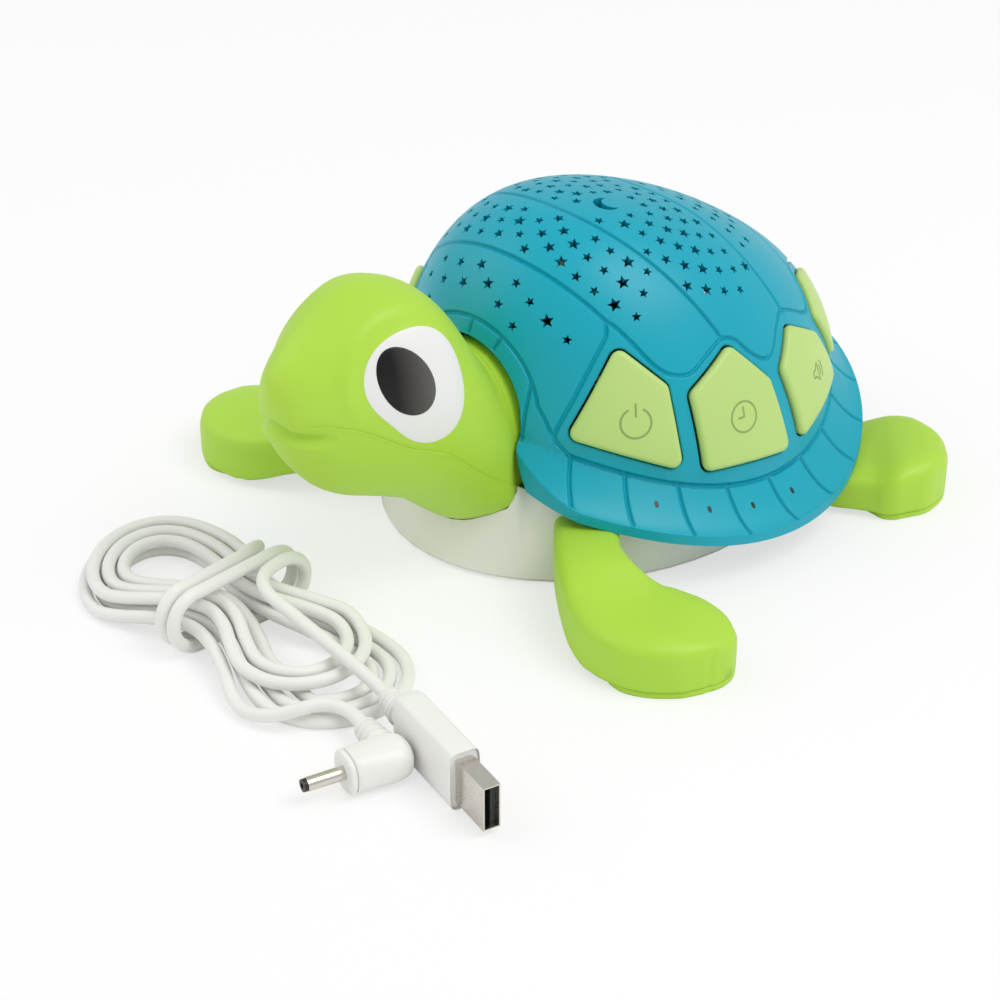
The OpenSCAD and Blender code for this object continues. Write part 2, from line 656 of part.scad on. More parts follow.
module pupil_right() { color(BLACK) mirror([1, 0, 0]) pupil_shape(); }

// Flippers: sections along a centre path, each as [x, y from the shell's axis, half width, top, bottom]
front_rows = [[33, -45.5, 8.6, 19.6, 12], [41, -54, 8.8, 20, 9.5], [48.5, -61.5, 9, 20.8, 7.6],
    [57, -66.8, 10.8, 19.9, 6], [64.6, -69.4, 13.4, 17.6, 2.4], [71.4, -69.9, 15.4, paddle_h + 0.8, 0],
    [78, -68.5, 16.4, paddle_h + 0.4, 0], [85, -65.7, 14.9, paddle_h + 0.2, 0],
    [90.8, -63.7, 12, paddle_h - 0.7, 0], [94.8, -62.7, 8, paddle_h - 1.9, 0],
    [96.9, -62.4, 4.8, paddle_h - 3.2, 0], [97.9, -62.3, 1.7, paddle_h - 5.5, 0]];
rear_rows = [[40, 24, 9.5, 12.4, 4], [47, 28.5, 11, 12.6, 3], [54.5, 35, 14.6, 12.6, 0.8],
    [60.5, 42.6, 18.8, 13.2, 0], [66, 48, 19.6, paddle_h + 0.2, 0], [71, 52, 16.6, paddle_h + 1, 0],
    [74.3, 55, 12, paddle_h + 0.4, 0], [76.5, 57, 7, paddle_h - 1.4, 0], [77.4, 57.8, 2.4, paddle_h - 4, 0]];
flipper_round = 4.2;
flipper_flat = 9;
// The unit vector across a flipper at one of its sections
function across(rows, k) = let(a = rows[max(k - 1, 0)], b = rows[min(k + 1, len(rows) - 1)],
    t = unit([b.x - a.x, b.y - a.y])) [t.y, -t.x];
function flipper_section(rows, k) = let(r = rows[k], c = plan(r), s = across(rows, k)) [for (i = [0:23])
    let(g = 360 * i / 24, e = sin(g) > 0 ? flipper_round : flipper_flat, u = r[2] * spow(cos(g), 2 / e))
    [c.x - u * s.x, c.y - u * s.y, (r[3] + r[4]) / 2 + (r[3] - r[4]) / 2 * spow(sin(g), 2 / e)]];
module flipper_solid(rows) { loft([for (k = [0:len(rows) - 1]) flipper_section(rows, k)]); }
module flipper_body(rows, root, dir, z) {
    difference() {
        flipper_solid(rows);
        translate([-10, -100, -1]) cube([120, 220, 1 + sole_h]);
        base_solid(flipper_gap);
        along(root, dir, z, 8) cylinder(r = hole_r, h = 17);
    }
}
sole_share = 0.97;
sole_round = 5;
function flipper_side(rows, side) = [for (k = [0:len(rows) - 1]) let(r = rows[k])
    if (r[4] < 1) plan(r) + side * sole_share * r[2] * across(rows, k)];
module sole_body(rows) {
    right = flipper_side(rows, 1);
    left = flipper_side(rows, -1);
    difference() {
        linear_extrude(sole_h - flipper_gap) offset(r = sole_round) offset(delta = -sole_round)
            polygon(concat(right, [for (k = [len(left) - 1:-1:0]) left[k]]));
        translate([0, base_y, -1]) linear_extrude(sole_h + 2) polygon(oval(base_rx + 0.4, base_ry + 0.4, 72));
    }
}
module front_flipper() { flipper_body(front_rows, front_root, front_dir, front_root_z); }
module rear_flipper() { flipper_body(rear_rows, rear_root, rear_dir, rear_root_z); }
module flipper_front_left() { color(LIME) front_flipper(); }
module flipper_front_right() { color(LIME) mirror([1, 0, 0]) front_flipper(); }
module flipper_rear_left() { color(LIME) rear_flipper(); }
module flipper_rear_right() { color(LIME) mirror([1, 0, 0]) rear_flipper(); }
module sole_front_left() { color(LIME) sole_body(front_rows); }
module sole_front_right() { color(LIME) mirror([1, 0, 0]) sole_body(front_rows); }
module sole_rear_left() { color(LIME) sole_body(rear_rows); }
module sole_rear_right() { color(LIME) mirror([1, 0, 0]) sole_body(rear_rows); }

// Plugs: the power plug lies flat, the USB plug stands on its narrow edge
dc_at = [52, -117.6, 5.7];
dc_turn = -16;
usb_at = [50, -107.5, 8];
usb_turn = -15;
module relief(len, r0, r1) {
    rotate([0, 90, 0]) {
        translate([0, 0, seat]) cylinder(r1 = r0, r2 = r1, h = len - seat);
        for (k = [0:3]) translate([0, 0, 1 + k * (len - 2.4) / 3]) cylinder(r = r0 + 0.7 + k * 0.25, h = 1.2);
    }
}
module at_dc() { translate(dc_at) rotate([0, 0, dc_turn]) children(); }
dc_x = 15;
dc_collar = 12.5;
module dc_plug_body() {
    color(IVORY) at_dc() {
        relief(9.5, cord_d / 2 + 0.4, 3);
        translate([9, -6.5, -5.2]) cube([12.5, 11, 10.4]);
        translate([dc_x, -5, 0]) rotate([90, 0, 0]) cylinder(r = 5.2, h = dc_collar - 5);
    }
}
bore_r = 0.75;
bore_h = 7;
tip_h = 1;
module barrel_at(z) { at_dc() translate([dc_x, -dc_collar - z, 0]) rotate([90, 0, 0]) children(); }
module dc_barrel() {
    color(STEEL) barrel_at(seat) difference() {
        cylinder(r = barrel_r, h = barrel_len);
        translate([0, 0, barrel_len - bore_h]) cylinder(r = bore_r, h = bore_h + 1);
    }
}
module dc_tip() {
    color(BLACK) barrel_at(barrel_len + 2 * seat) difference() {
        cylinder(r = barrel_r - 0.15, h = tip_h);
        translate([0, 0, -1]) cylinder(r = bore_r, h = tip_h + 2);
    }
}
module at_usb() { translate(usb_at) rotate([0, 0, usb_turn]) children(); }
usb_body_l = 30;
usb_relief = 8;
usb_shell_l = 13;
module usb_plug_body() {
    color(IVORY) at_usb() {
        relief(usb_relief + 0.5, cord_d / 2 + 0.4, 3);
        translate([usb_relief, 0, 0]) rotate([90, 0, 90]) linear_extrude(usb_body_l)
            polygon(rounded([[4, -8], [4, 8], [-4, 8], [-4, -8]], 1.5));
    }
}
module usb_shell() {
    color(STEEL) at_usb() translate([usb_relief + usb_body_l + seat, -2.25, -6]) difference() {
        cube([usb_shell_l, 4.5, 12]);
        translate([1, 0.35, 0.35]) cube([usb_shell_l, 3.8, 11.3]);
    }
}
module usb_tongue() {
    color(BLACK) at_usb() translate([usb_relief + usb_body_l + 1 + 2 * seat, 0.3, -5.6])
        cube([usb_shell_l - 2.5, 1.55, 11.2]);
}

// Hank: the cord's loops in two layers, drawn in at the waist, then two turns round the waist
hank_at = [-8, -106];
loops_low = 3;
loop_start = 0.09;
loop_end = 5.62;
layer_low = cord_d / 2 + 0.05;
layer_step = cord_d + 0.45;
end_step = cord_d + 1.1;
waist_step = cord_d + 1.05;
waist_raise = 5.3;
raise_half = 38;
left_skew = 0.22;
function loop_b(j) = 10.6 + end_step * j;
function loop_w(j) = 2 + waist_step * j;
function loop_left(j) = 44 + end_step * j;
function loop_right(j, n) = (n < loops_low ? 44.5 : 32.5) + end_step * j;
function bump(x, half) = abs(x) < half ? (1 + cos(180 * x / half)) / 2 : 0;
function ease(t) = let(c = min(max(t, 0), 1)) c * c * (3 - 2 * c);
function waist_half(x, n) = n < loops_low + 0.4 || x < 0 ? 34 : 25;
function run_y(x, j, n) = loop_b(j) - (loop_b(j) - loop_w(j)) * bump(x, waist_half(x, n));
function loop_xy(t, j, n) = let(b = loop_b(j), xr = loop_right(j, n) - b, xl = -(loop_left(j) - b))
    t < 0.36 ? let(x = xr + (xl - xr) * t / 0.36) [x, -run_y(x, j, n)]
    : t < 0.5 ? let(g = 270 - 180 * (t - 0.36) / 0.14) [xl + b * cos(g), b * sin(g)]
    : t < 0.86 ? let(x = xl + (xr - xl) * (t - 0.5) / 0.36) [x, run_y(x, j, n)]
    : let(g = 90 - 180 * (t - 0.86) / 0.14) [xr + b * cos(g), b * sin(g)];
function loop_pt(n) = let(j = n < loops_low ? loops_low - n : max(n - loops_low - 0.36, 0),
    p = loop_xy(n - floor(n), j, n), up = ease((n - loops_low - 0.02) / 0.26))
    [p.x - left_skew * p.y * ease(-(p.x + 15) / 40), p.y,
        layer_low + layer_step * up + waist_raise * bump(p.x, raise_half)];
loop_t = concat([for (k = [0:7]) 0.36 * k / 8], [for (k = [0:7]) 0.36 + 0.14 * k / 8],
    [for (k = [0:7]) 0.5 + 0.36 * k / 8], [for (k = [0:7]) 0.86 + 0.14 * k / 8]);
loop_n = [for (n = [0:5], t = loop_t) if (n + t >= loop_start && n + t <= loop_end) n + t];
wrap_mid = layer_low + waist_raise + layer_step / 2;
wrap_w = 21;
wrap_h = 2 * cord_d + 0.2;
wrap_pitch = 4.8;
// A turn round the waist: flat over and under, half round at the sides, f counted from the middle of the top
function wrap_yz(d) = let(l = wrap_w - wrap_h, h = wrap_h, c = PI * h)
    d < l ? [-d, h]
    : d < l + c ? let(g = 180 * (d - l) / c) [-l - h * sin(g), h * cos(g)]
    : d < 3 * l + c ? [d - 2 * l - c, -h]
    : d < 3 * l + 2 * c ? let(g = 180 * (d - 3 * l - c) / c) [l + h * sin(g), -h * cos(g)]
    : [4 * l + 2 * c - d, h];
function wrap_pt(f) = let(p = wrap_yz((f - floor(f)) * (4 * (wrap_w - wrap_h) + 2 * PI * wrap_h)))
    [-7 + wrap_pitch * f, p.x, wrap_mid + p.y];
wrap_f = [for (k = [0:40]) 0.02 + 1.88 * k / 40];
// Both ends in the hank's own frame
function in_hank(p) = [p.x - hank_at.x, p.y - hank_at.y, p.z];
function back_from(p, turn) = in_hank(p) - cord_d * [cos(turn), sin(turn), 0];
dc_end = [in_hank(dc_at), back_from(dc_at, dc_turn), [53.7, -10.4, 5.9], [50.9, -11.2, 6.3],
    [48.5, -12.8, 6.6], [46.8, -15.2, 6.8], [45.2, -18.1, 6.5], [43, -20.9, 5.6], [39.7, -23.4, 4.3],
    [35, -24.9, 3], [29.5, -25, 2.4], [23.5, -23, 3.2]];
wrap_in = [[-14, 17, 11.2], [-11.2, 15.8, 14], [-9, 12.2, 15.9], [-7.6, 7.5, 16.3]];
usb_end = [[3.8, 5.4, 16.2], [7, 2.4, 15.9], [11.5, 0.9, 15.3], [20, 0.6, 14], [30, 0.5, 12.2],
    [42, 0.2, 10.2], [50, 0, 8.6], back_from(usb_at, usb_turn), in_hank(usb_at)];
cord_path = concat(dc_end, [for (n = loop_n) loop_pt(n)], wrap_in, [for (f = wrap_f) wrap_pt(f)], usb_end);
function run_len(p, i = 0) = i >= len(p) - 1 ? 0 : norm(p[i + 1] - p[i]) + run_len(p, i + 1);
echo(cord_length = run_len(cord_path));
cord_sides = 6;
module tube(path, r) {
    n = len(path);
    loft([for (i = [0:n - 1]) let(a = path[max(i - 1, 0)], b = path[min(i + 1, n - 1)], t = unit(b - a),
        s = unit(cross([0, 0, 1], t) + [0, 0, 0.0001]), v = cross(t, s))
        [for (k = [0:cord_sides - 1]) let(g = -360 * k / cord_sides)
            path[i] + r * (cos(g) * s + sin(g) * v)]]);
}
module cord_hank() { color(IVORY) translate([hank_at.x, hank_at.y, 0]) tube(cord_path, cord_d / 2); }

shell();
button_left(0);  // button_left_1
button_left(1);  // button_left_2
button_left(2);  // button_left_3
button_left(3);  // button_left_4
button_right(0);  // button_right_1
button_right(1);  // button_right_2
button_right(2);  // button_right_3
button_right(3);  // button_right_4
indicator_lenses();
deck();
switch_boards();
tact_switches();
led_board();
leds();
base();
feet();
base_screws();
head_screws();
flipper_screws();
main_board();
board_parts();
board_screws();
speaker_frame();
speaker_cone();
speaker_magnet();
speaker_screws();
dc_jack();
head_upper();
head_lower();
eye_white_left();
eye_white_right();
pupil_left();
pupil_right();
flipper_front_left();
flipper_front_right();
flipper_rear_left();
flipper_rear_right();
sole_front_left();
sole_front_right();
sole_rear_left();
sole_rear_right();
cord_hank();
dc_plug_body();
dc_barrel();
dc_tip();
usb_plug_body();
usb_shell();
usb_tongue();
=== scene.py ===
"""A turtle-shaped nursery sound machine and star projector, with its power cord tied up beside it.

Lengths are written in millimetres in the CAD part's frame, and become metres when a mesh is made. The camera
and the lamps are placed in metres.
"""

import math

import bmesh
import bpy
import numpy as np
from mathutils.geometry import delaunay_2d_cdt
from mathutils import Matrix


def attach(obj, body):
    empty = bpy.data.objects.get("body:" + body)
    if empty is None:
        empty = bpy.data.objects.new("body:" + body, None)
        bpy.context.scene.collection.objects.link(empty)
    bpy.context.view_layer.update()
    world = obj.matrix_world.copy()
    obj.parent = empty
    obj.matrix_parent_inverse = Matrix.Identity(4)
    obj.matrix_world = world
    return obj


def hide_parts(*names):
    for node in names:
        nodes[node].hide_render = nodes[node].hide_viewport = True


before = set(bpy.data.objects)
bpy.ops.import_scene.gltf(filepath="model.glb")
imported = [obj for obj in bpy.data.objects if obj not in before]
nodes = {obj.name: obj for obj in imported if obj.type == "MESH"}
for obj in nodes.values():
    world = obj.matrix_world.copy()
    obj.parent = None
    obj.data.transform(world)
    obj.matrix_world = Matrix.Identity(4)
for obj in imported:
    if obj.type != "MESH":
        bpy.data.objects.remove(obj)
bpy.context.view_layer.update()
MM = 0.001

# Camera
# The photograph is taken from the turtle's front left, thirty degrees above the floor, with a long lens.
camera_data = bpy.data.cameras.new("camera")
camera_data.lens = 85.68
camera_data.sensor_width = 36
camera_data.clip_end = 50
camera = bpy.data.objects.new("camera", camera_data)
camera.location = (0.408, -0.4268, 0.340)
camera.rotation_euler = (math.radians(60), 0, math.radians(45))
bpy.context.scene.collection.objects.link(camera)
bpy.context.scene.camera = camera
bpy.context.scene.view_settings.view_transform = "Standard"


# Floor and light
# A white studio table under two wide soft lamps and a pale surround, which leave a faint soft shadow.
class Shade:
    """A shader value in a paint's node tree; operators on it add Math nodes."""

    def __init__(self, paint, socket):
        self.paint = paint
        self.socket = socket

    def _math(self, operation, first, second):
        """The result of one Math node on two values."""
        return self.paint.add("ShaderNodeMath", {"operation": operation}, {0: first, 1: second})

    def __add__(self, other):
        return self._math("ADD", self, other)

    def __sub__(self, other):
        return self._math("SUBTRACT", self, other)

    def __rsub__(self, other):
        return self._math("SUBTRACT", other, self)

    def __mul__(self, other):
        return self._math("MULTIPLY", self, other)

    __radd__ = __add__
    __rmul__ = __mul__

    def between(self, low, high):
        """0 below low, 1 above high, and smooth in between."""
        settings = {"interpolation_type": "SMOOTHSTEP"}
        return self.paint.add("ShaderNodeMapRange", settings, {0: self, 1: low, 2: high})


class Paint:
    """One material: a Principled shader, and the nodes that feed it."""

    def __init__(self, name, roughness=0.5, metallic=0.0):
        self.material = bpy.data.materials.new(name)
        self.material.use_nodes = True
        self.tree = self.material.node_tree
        self.shader = self.tree.nodes["Principled BSDF"]
        self.set(Roughness=roughness, Metallic=metallic)

    def feed(self, socket, value):
        """Links a shader value to a socket, or sets a plain one there."""
        if isinstance(value, Shade):
            self.tree.links.new(value.socket, socket)
        else:
            socket.default_value = value

    def add(self, kind, settings=None, sockets=None, out=0):
        """Adds a node of that kind, with its settings first and then its sockets, and gives an output."""
        node = self.tree.nodes.new(kind)
        for key, value in (settings or {}).items():
            setattr(node, key, value)
        for key, value in (sockets or {}).items():
            self.feed(node.inputs[key], value)
        return Shade(self, node.outputs[out])

    def place(self):
        """The point on the piece, in metres in the part's frame."""
        return self.add("ShaderNodeTexCoord", out="Object")

    def noise(self, size_mm, detail=2.0):
        """A cloud of values about 0.5, with features of that size."""
        sockets = {"Vector": self.place(), "Scale": 1 / (size_mm * MM), "Detail": detail}
        return self.add("ShaderNodeTexNoise", None, sockets)

    def mix(self, factor, low, high):
        """A colour between two colours."""
        settings = {"data_type": "RGBA", "clamp_factor": True}
        return self.add("ShaderNodeMix", settings, {0: factor, 6: (*low, 1), 7: (*high, 1)}, out=2)

    def set(self, **sockets):
        """Feeds the shader's own sockets, such as Base_Color or Normal."""
        for key, value in sockets.items():
            self.feed(self.shader.inputs[key.replace("_", " ")], value)
        return self

    def bump(self, height, depth_mm, strength=1.0):
        """Roughens the surface by that height field, depth_mm deep."""
        sockets = {"Height": height, "Distance": depth_mm * MM, "Strength": strength}
        return self.set(Normal=self.add("ShaderNodeBump", None, sockets))


def make_mesh(name, points_mm, faces, paint):
    """A mesh object at the origin from points in millimetres and faces of point numbers, smooth shaded."""
    mesh = bpy.data.meshes.new(name)
    corners = faces if isinstance(faces, list) else faces.tolist()
    mesh.from_pydata((np.asarray(points_mm) * MM).tolist(), [], corners)
    mesh.polygons.foreach_set("use_smooth", np.ones(len(mesh.polygons), bool))
    mesh.materials.append(paint.material)
    piece = bpy.data.objects.new(name, mesh)
    bpy.context.scene.collection.objects.link(piece)
    return piece


FLOOR_HALF = 3000
FLOOR_WHITE = 0.62
SURROUND_WHITE = 0.62
floor_paint = Paint("studio_white", roughness=0.9)
floor_cloud = floor_paint.noise(400)
floor_paint.set(Base_Color=floor_paint.mix(floor_cloud, (0.95, 0.95, 0.95), (0.97, 0.97, 0.97)))
plain_floor = Shade(floor_paint, floor_paint.shader.outputs[0])
glow = floor_paint.add("ShaderNodeEmission", None, {"Color": (1, 1, 1, 1), "Strength": 1.0})
seen = floor_paint.add("ShaderNodeLightPath", out="Is Camera Ray") * FLOOR_WHITE
floor_paint.feed(floor_paint.tree.nodes["Material Output"].inputs["Surface"],
                 floor_paint.add("ShaderNodeMixShader", None, {0: seen, 1: plain_floor, 2: glow}))
floor_corners = FLOOR_HALF * np.array([[-1, -1, 0], [1, -1, 0], [1, 1, 0], [-1, 1, 0]])
floor = make_mesh("floor", floor_corners, [[0, 1, 2, 3]], floor_paint)

world = bpy.data.worlds.new("surround")
bpy.context.scene.world = world
world.use_nodes = True
background = world.node_tree.nodes["Background"]
background.inputs["Color"].default_value = (1, 1, 1, 1)
background.inputs["Strength"].default_value = SURROUND_WHITE


def soft_lamp(name, place, aim, size, power):
    """A square area lamp of that size in metres, turned to its aim."""
    data = bpy.data.lights.new(name, "AREA")
    data.size = size
    data.energy = power
    lamp = bpy.data.objects.new(name, data)
    lamp.location = place
    back = np.array(place) - np.array(aim)
    lamp.rotation_euler = (math.acos(back[2] / np.linalg.norm(back)), 0, math.atan2(back[0], -back[1]))
    bpy.context.scene.collection.objects.link(lamp)


soft_lamp("key_lamp", place=(0.75, 0.25, 1.25), aim=(0, 0, 0.03), size=0.9, power=9)
soft_lamp("fill_lamp", place=(-0.9, -0.7, 0.9), aim=(0, 0, 0.03), size=1.2, power=4)


# Cord
# A limp round lead in a white jacket, wound in two layers of loops, drawn in at the waist and tied by two
# turns of its own length. It lies loose on the floor before the turtle, on the same route as in the solids.
CORD_D = 3.5
HANK_AT = np.array([-8, -106, 0])
LOOPS_LOW = 3
LOOP_START = 0.09
LOOP_END = 5.62
LAYER_LOW = CORD_D / 2 + 0.05
LAYER_STEP = CORD_D + 0.45
END_STEP = CORD_D + 1.1
WAIST_STEP = CORD_D + 1.05
BEND_R = 10.6
WAIST_HALF = 2
RIGHT_REACH = (44.5, 32.5)
LEFT_REACH = 44
PINCH_HALF = (34, 25)
PINCH_CHANGE = 0.4
WAIST_RAISE = 5.3
RAISE_HALF = 38
CLIMB_FROM = 0.02
CLIMB_OVER = 0.26
LEFT_SKEW = 0.22
SKEW_FROM = 15
SKEW_OVER = 40
RUN_SHARE = 0.36
BEND_SHARE = 0.14
RUN_STEPS = 8
WRAP_X = -7
WRAP_W = 21
WRAP_H = 2 * CORD_D + 0.2
WRAP_PITCH = 4.8
WRAP_FROM = 0.02
WRAP_TURNS = 1.88
WRAP_STEPS = 40
CORD_SIDES = 18
DC_AT = np.array([52, -117.6, 5.7])
DC_TURN = -16
USB_AT = np.array([50, -107.5, 8])
USB_TURN = -15
DC_TAIL = [[53.7, -10.4, 5.9], [50.9, -11.2, 6.3], [48.5, -12.8, 6.6], [46.8, -15.2, 6.8], [45.2, -18.1, 6.5],
           [43, -20.9, 5.6], [39.7, -23.4, 4.3], [35, -24.9, 3], [29.5, -25, 2.4], [23.5, -23, 3.2]]
WRAP_IN = [[-14, 17, 11.2], [-11.2, 15.8, 14], [-9, 12.2, 15.9], [-7.6, 7.5, 16.3]]
USB_TAIL = [[3.8, 5.4, 16.2], [7, 2.4, 15.9], [11.5, 0.9, 15.3], [20, 0.6, 14], [30, 0.5, 12.2],
            [42, 0.2, 10.2], [50, 0, 8.6]]


def turned(degrees):
    """The directions along and across a plug that is turned about the upright axis."""
    turn = math.radians(degrees)
    along = np.array([math.cos(turn), math.sin(turn), 0])
    return along, np.array([-along[1], along[0], 0])


def ease(t):
    """0 to 1, level at both ends: three times the square less twice the cube."""
    t = np.clip(t, 0, 1)
    return t * t * (3 - 2 * t)


def bump(x, half):
    """1 in the middle, falling to 0 at half on either side, as a cosine does."""
    return np.where(np.abs(x) < half, (1 + np.cos(np.pi * x / half)) / 2, 0)


def hank_loop(n):
    """The loops: n counts turns; each is a run, a half circle, a run back and a half circle."""
    j = np.where(n < LOOPS_LOW, LOOPS_LOW - n, np.maximum(n - LOOPS_LOW - RUN_SHARE, 0))
    t = n - np.floor(n)
    bend = BEND_R + END_STEP * j
    waist = WAIST_HALF + WAIST_STEP * j
    right = np.where(n < LOOPS_LOW, *RIGHT_REACH) + END_STEP * j - bend
    left = -(LEFT_REACH + END_STEP * j - bend)
    out_x = right + (left - right) * t / RUN_SHARE
    back_x = left + (right - left) * (t - 0.5) / RUN_SHARE
    run_x = np.where(t < 0.5, out_x, back_x)
    half = np.where((n < LOOPS_LOW + PINCH_CHANGE) | (run_x < 0), *PINCH_HALF)
    run_y = (bend - (bend - waist) * bump(run_x, half)) * np.where(t < 0.5, -1, 1)
    left_turn = np.radians(270 - 180 * (t - RUN_SHARE) / BEND_SHARE)
    right_turn = np.radians(90 - 180 * (t - 0.5 - RUN_SHARE) / BEND_SHARE)
    on_bend = [(t >= RUN_SHARE) & (t < 0.5), t >= 0.5 + RUN_SHARE]
    x = np.select(on_bend, [left + bend * np.cos(left_turn), right + bend * np.cos(right_turn)], run_x)
    y = np.select(on_bend, [bend * np.sin(left_turn), bend * np.sin(right_turn)], run_y)
    up = ease((n - LOOPS_LOW - CLIMB_FROM) / CLIMB_OVER)
    z = LAYER_LOW + LAYER_STEP * up + WAIST_RAISE * bump(x, RAISE_HALF)
    return np.stack([x - LEFT_SKEW * y * ease(-(x + SKEW_FROM) / SKEW_OVER), y, z], -1)


def hank_wrap(f):
    """The two turns round the waist: flat over and under, half round at the sides; f counts turns."""
    flat = WRAP_W - WRAP_H
    side = math.pi * WRAP_H
    d = (f - np.floor(f)) * (4 * flat + 2 * side)
    first = (d - flat) / WRAP_H
    second = (d - 3 * flat - side) / WRAP_H
    stretch = [d < flat, d < flat + side, d < 3 * flat + side, d < 3 * flat + 2 * side]
    y = np.select(stretch, [-d, -flat - WRAP_H * np.sin(first), d - 2 * flat - side,
                            flat + WRAP_H * np.sin(second)], 4 * flat + 2 * side - d)
    z = np.select(stretch, [WRAP_H + 0 * d, WRAP_H * np.cos(first), -WRAP_H + 0 * d,
                            -WRAP_H * np.cos(second)], WRAP_H)
    middle = LAYER_LOW + WAIST_RAISE + LAYER_STEP / 2
    return np.stack([WRAP_X + WRAP_PITCH * f, y, middle + z], -1)


def cord_route():
    """The whole route in millimetres, from the power plug through the hank to the USB plug."""
    runs = np.arange(RUN_STEPS) / RUN_STEPS
    turn = np.concatenate([RUN_SHARE * runs, RUN_SHARE + BEND_SHARE * runs,
                           0.5 + RUN_SHARE * runs, 0.5 + RUN_SHARE + BEND_SHARE * runs])
    n = (np.arange(math.ceil(LOOP_END))[:, None] + turn).ravel()
    n = n[(n >= LOOP_START) & (n <= LOOP_END)]
    dc_start = DC_AT - HANK_AT
    usb_start = USB_AT - HANK_AT
    dc_lead = [dc_start, dc_start - CORD_D * turned(DC_TURN)[0]]
    usb_lead = [usb_start - CORD_D * turned(USB_TURN)[0], usb_start]
    wrap = hank_wrap(WRAP_FROM + WRAP_TURNS * np.arange(WRAP_STEPS + 1) / WRAP_STEPS)
    return np.concatenate([dc_lead, DC_TAIL, hank_loop(n), WRAP_IN, wrap, USB_TAIL, usb_lead]) + HANK_AT


def smooth_line(points, steps):
    """A curve through the points: cubics whose slope at a point is that from one neighbour to the other."""
    points = np.asarray(points, float)
    ends = np.concatenate([[2 * points[0] - points[1]], points, [2 * points[-1] - points[-2]]])
    t = (np.arange(steps) / steps)[None, :, None]
    a, b, c, d = (ends[k:len(ends) - 3 + k][:, None] for k in range(4))
    curve = b + t * (c - a) / 2 + t**2 * (a - 2.5 * b + 2 * c - d / 2) + t**3 * (1.5 * (b - c) + (d - a) / 2)
    return np.concatenate([curve.reshape(-1, points.shape[1]), points[-1:]])


def unit(v):
    """Vectors made one unit long."""
    return v / np.linalg.norm(v, axis=-1, keepdims=True)


def grid_faces(rows, columns, round_columns=False):
    """Quads of a grid of points numbered row by row; the last column may join the first."""
    number = np.arange(rows * columns).reshape(rows, columns)
    across = np.roll(number, -1, 1) if round_columns else number[:, 1:]
    here = number if round_columns else number[:, :-1]
    return np.stack([here[:-1], across[:-1], across[1:], here[1:]], -1).reshape(-1, 4)


def tube(path, radius, sides):
    """A round tube along a path: rings square to it, each turned as little as may be from the last."""
    tangent = unit(np.gradient(path, axis=0))
    side = [unit(np.cross(tangent[0], [0.0, 0, 1]))]
    for along in tangent[1:]:
        side.append(unit(side[-1] - (side[-1] @ along) * along))
    side = np.array(side)
    rise = np.cross(side, tangent)
    angle = 2 * np.pi * np.arange(sides) / sides
    ring = np.cos(angle)[None, :, None] * side[:, None] + np.sin(angle)[None, :, None] * rise[:, None]
    points = path[:, None] + radius * ring
    faces = grid_faces(len(path), sides, True)[:, ::-1].tolist()
    caps = [list(range(sides)), list(range(len(path) * sides - 1, (len(path) - 1) * sides - 1, -1))]
    return points.reshape(-1, 3), faces + caps


cord_paint = Paint("cord_jacket", roughness=0.42)
jacket_cloud = cord_paint.noise(14)
cord_paint.set(Base_Color=cord_paint.mix(jacket_cloud, (0.86, 0.855, 0.82), (0.90, 0.895, 0.87)))
cord_paint.bump(cord_paint.noise(0.5), 0.02, 0.5)
route = smooth_line(cord_route(), 4)
cord = make_mesh("cord", *tube(route, CORD_D / 2, CORD_SIDES), cord_paint)
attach(cord, "body")
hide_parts("cord_hank")

# Plugs
# White bodies with ribbed strain reliefs, moulded onto the cord: a round right-angle one on a nickel barrel
# with a black tip, and a USB one that lies on its narrow edge, on a nickel shell.
RELIEF_R = CORD_D / 2 + 0.4
RELIEF_RIBS = 0.75
RELIEF_WIDEN = 1.1
RELIEF_OVERLAP = 1.5
RELIEF_ROWS = 90
RIB_FIRST = 1.6
RIB_ROOM = 2.4
DC_RELIEF = 9.5
DC_MID = 15
DC_BODY = [(4.5, 2.2, 1.9), (4.3, 3.6, 3.1), (3.6, 4.8, 4.1), (2.2, 5.7, 4.8), (0, 6.15, 5.15),
           (-3, 6.1, 5.2), (-6.5, 5.7, 5.2), (-10.5, 5.3, 5.15), (-10.65, 4.8, 4.65), (-11.15, 4.8, 4.65),
           (-11.3, 5.3, 5.15), (-12.2, 5.2, 5.1), (-12.45, 5, 4.9), (-12.5, 4.6, 4.5)]
DC_ROUND = 2.5
USB_RELIEF = 8
USB_BODY = [(8, 0.42), (8.15, 0.6), (8.6, 0.74), (9.6, 0.87), (11, 0.95), (13, 0.99), (15, 1), (36.8, 1),
            (37.5, 0.985), (37.9, 0.955), (38, 0.9)]
USB_HALF = (4, 8)
USB_ROUND = 6
PLUG_COLUMNS = 64


def ring_solid(rings):
    """A closed solid through rings of points, with a flat face at each end and its faces turned outwards."""
    rows, columns = rings.shape[:2]
    points = rings.reshape(-1, 3)
    quads = grid_faces(rows, columns, True)
    a, b, c = (points[quads[:, k]] - points.mean(0) for k in range(3))
    last = (rows - 1) * columns
    faces = quads.tolist() + [list(range(columns))[::-1], list(range(last, last + columns))]
    outwards = (a * np.cross(b, c)).sum() > 0
    return points, faces if outwards else [face[::-1] for face in faces]


def superellipse(angle, power):
    """The unit superellipse: an angle's cosine and its sine, each to 2 / power with its sign kept."""
    return [np.sign(v) * np.abs(v) ** (2 / power) for v in (np.cos(angle), np.sin(angle))]


def oval_ring(power):
    """One superellipse ring of a plug, as its cosine and sine rows."""
    return superellipse(2 * np.pi * np.arange(PLUG_COLUMNS) / PLUG_COLUMNS, power)


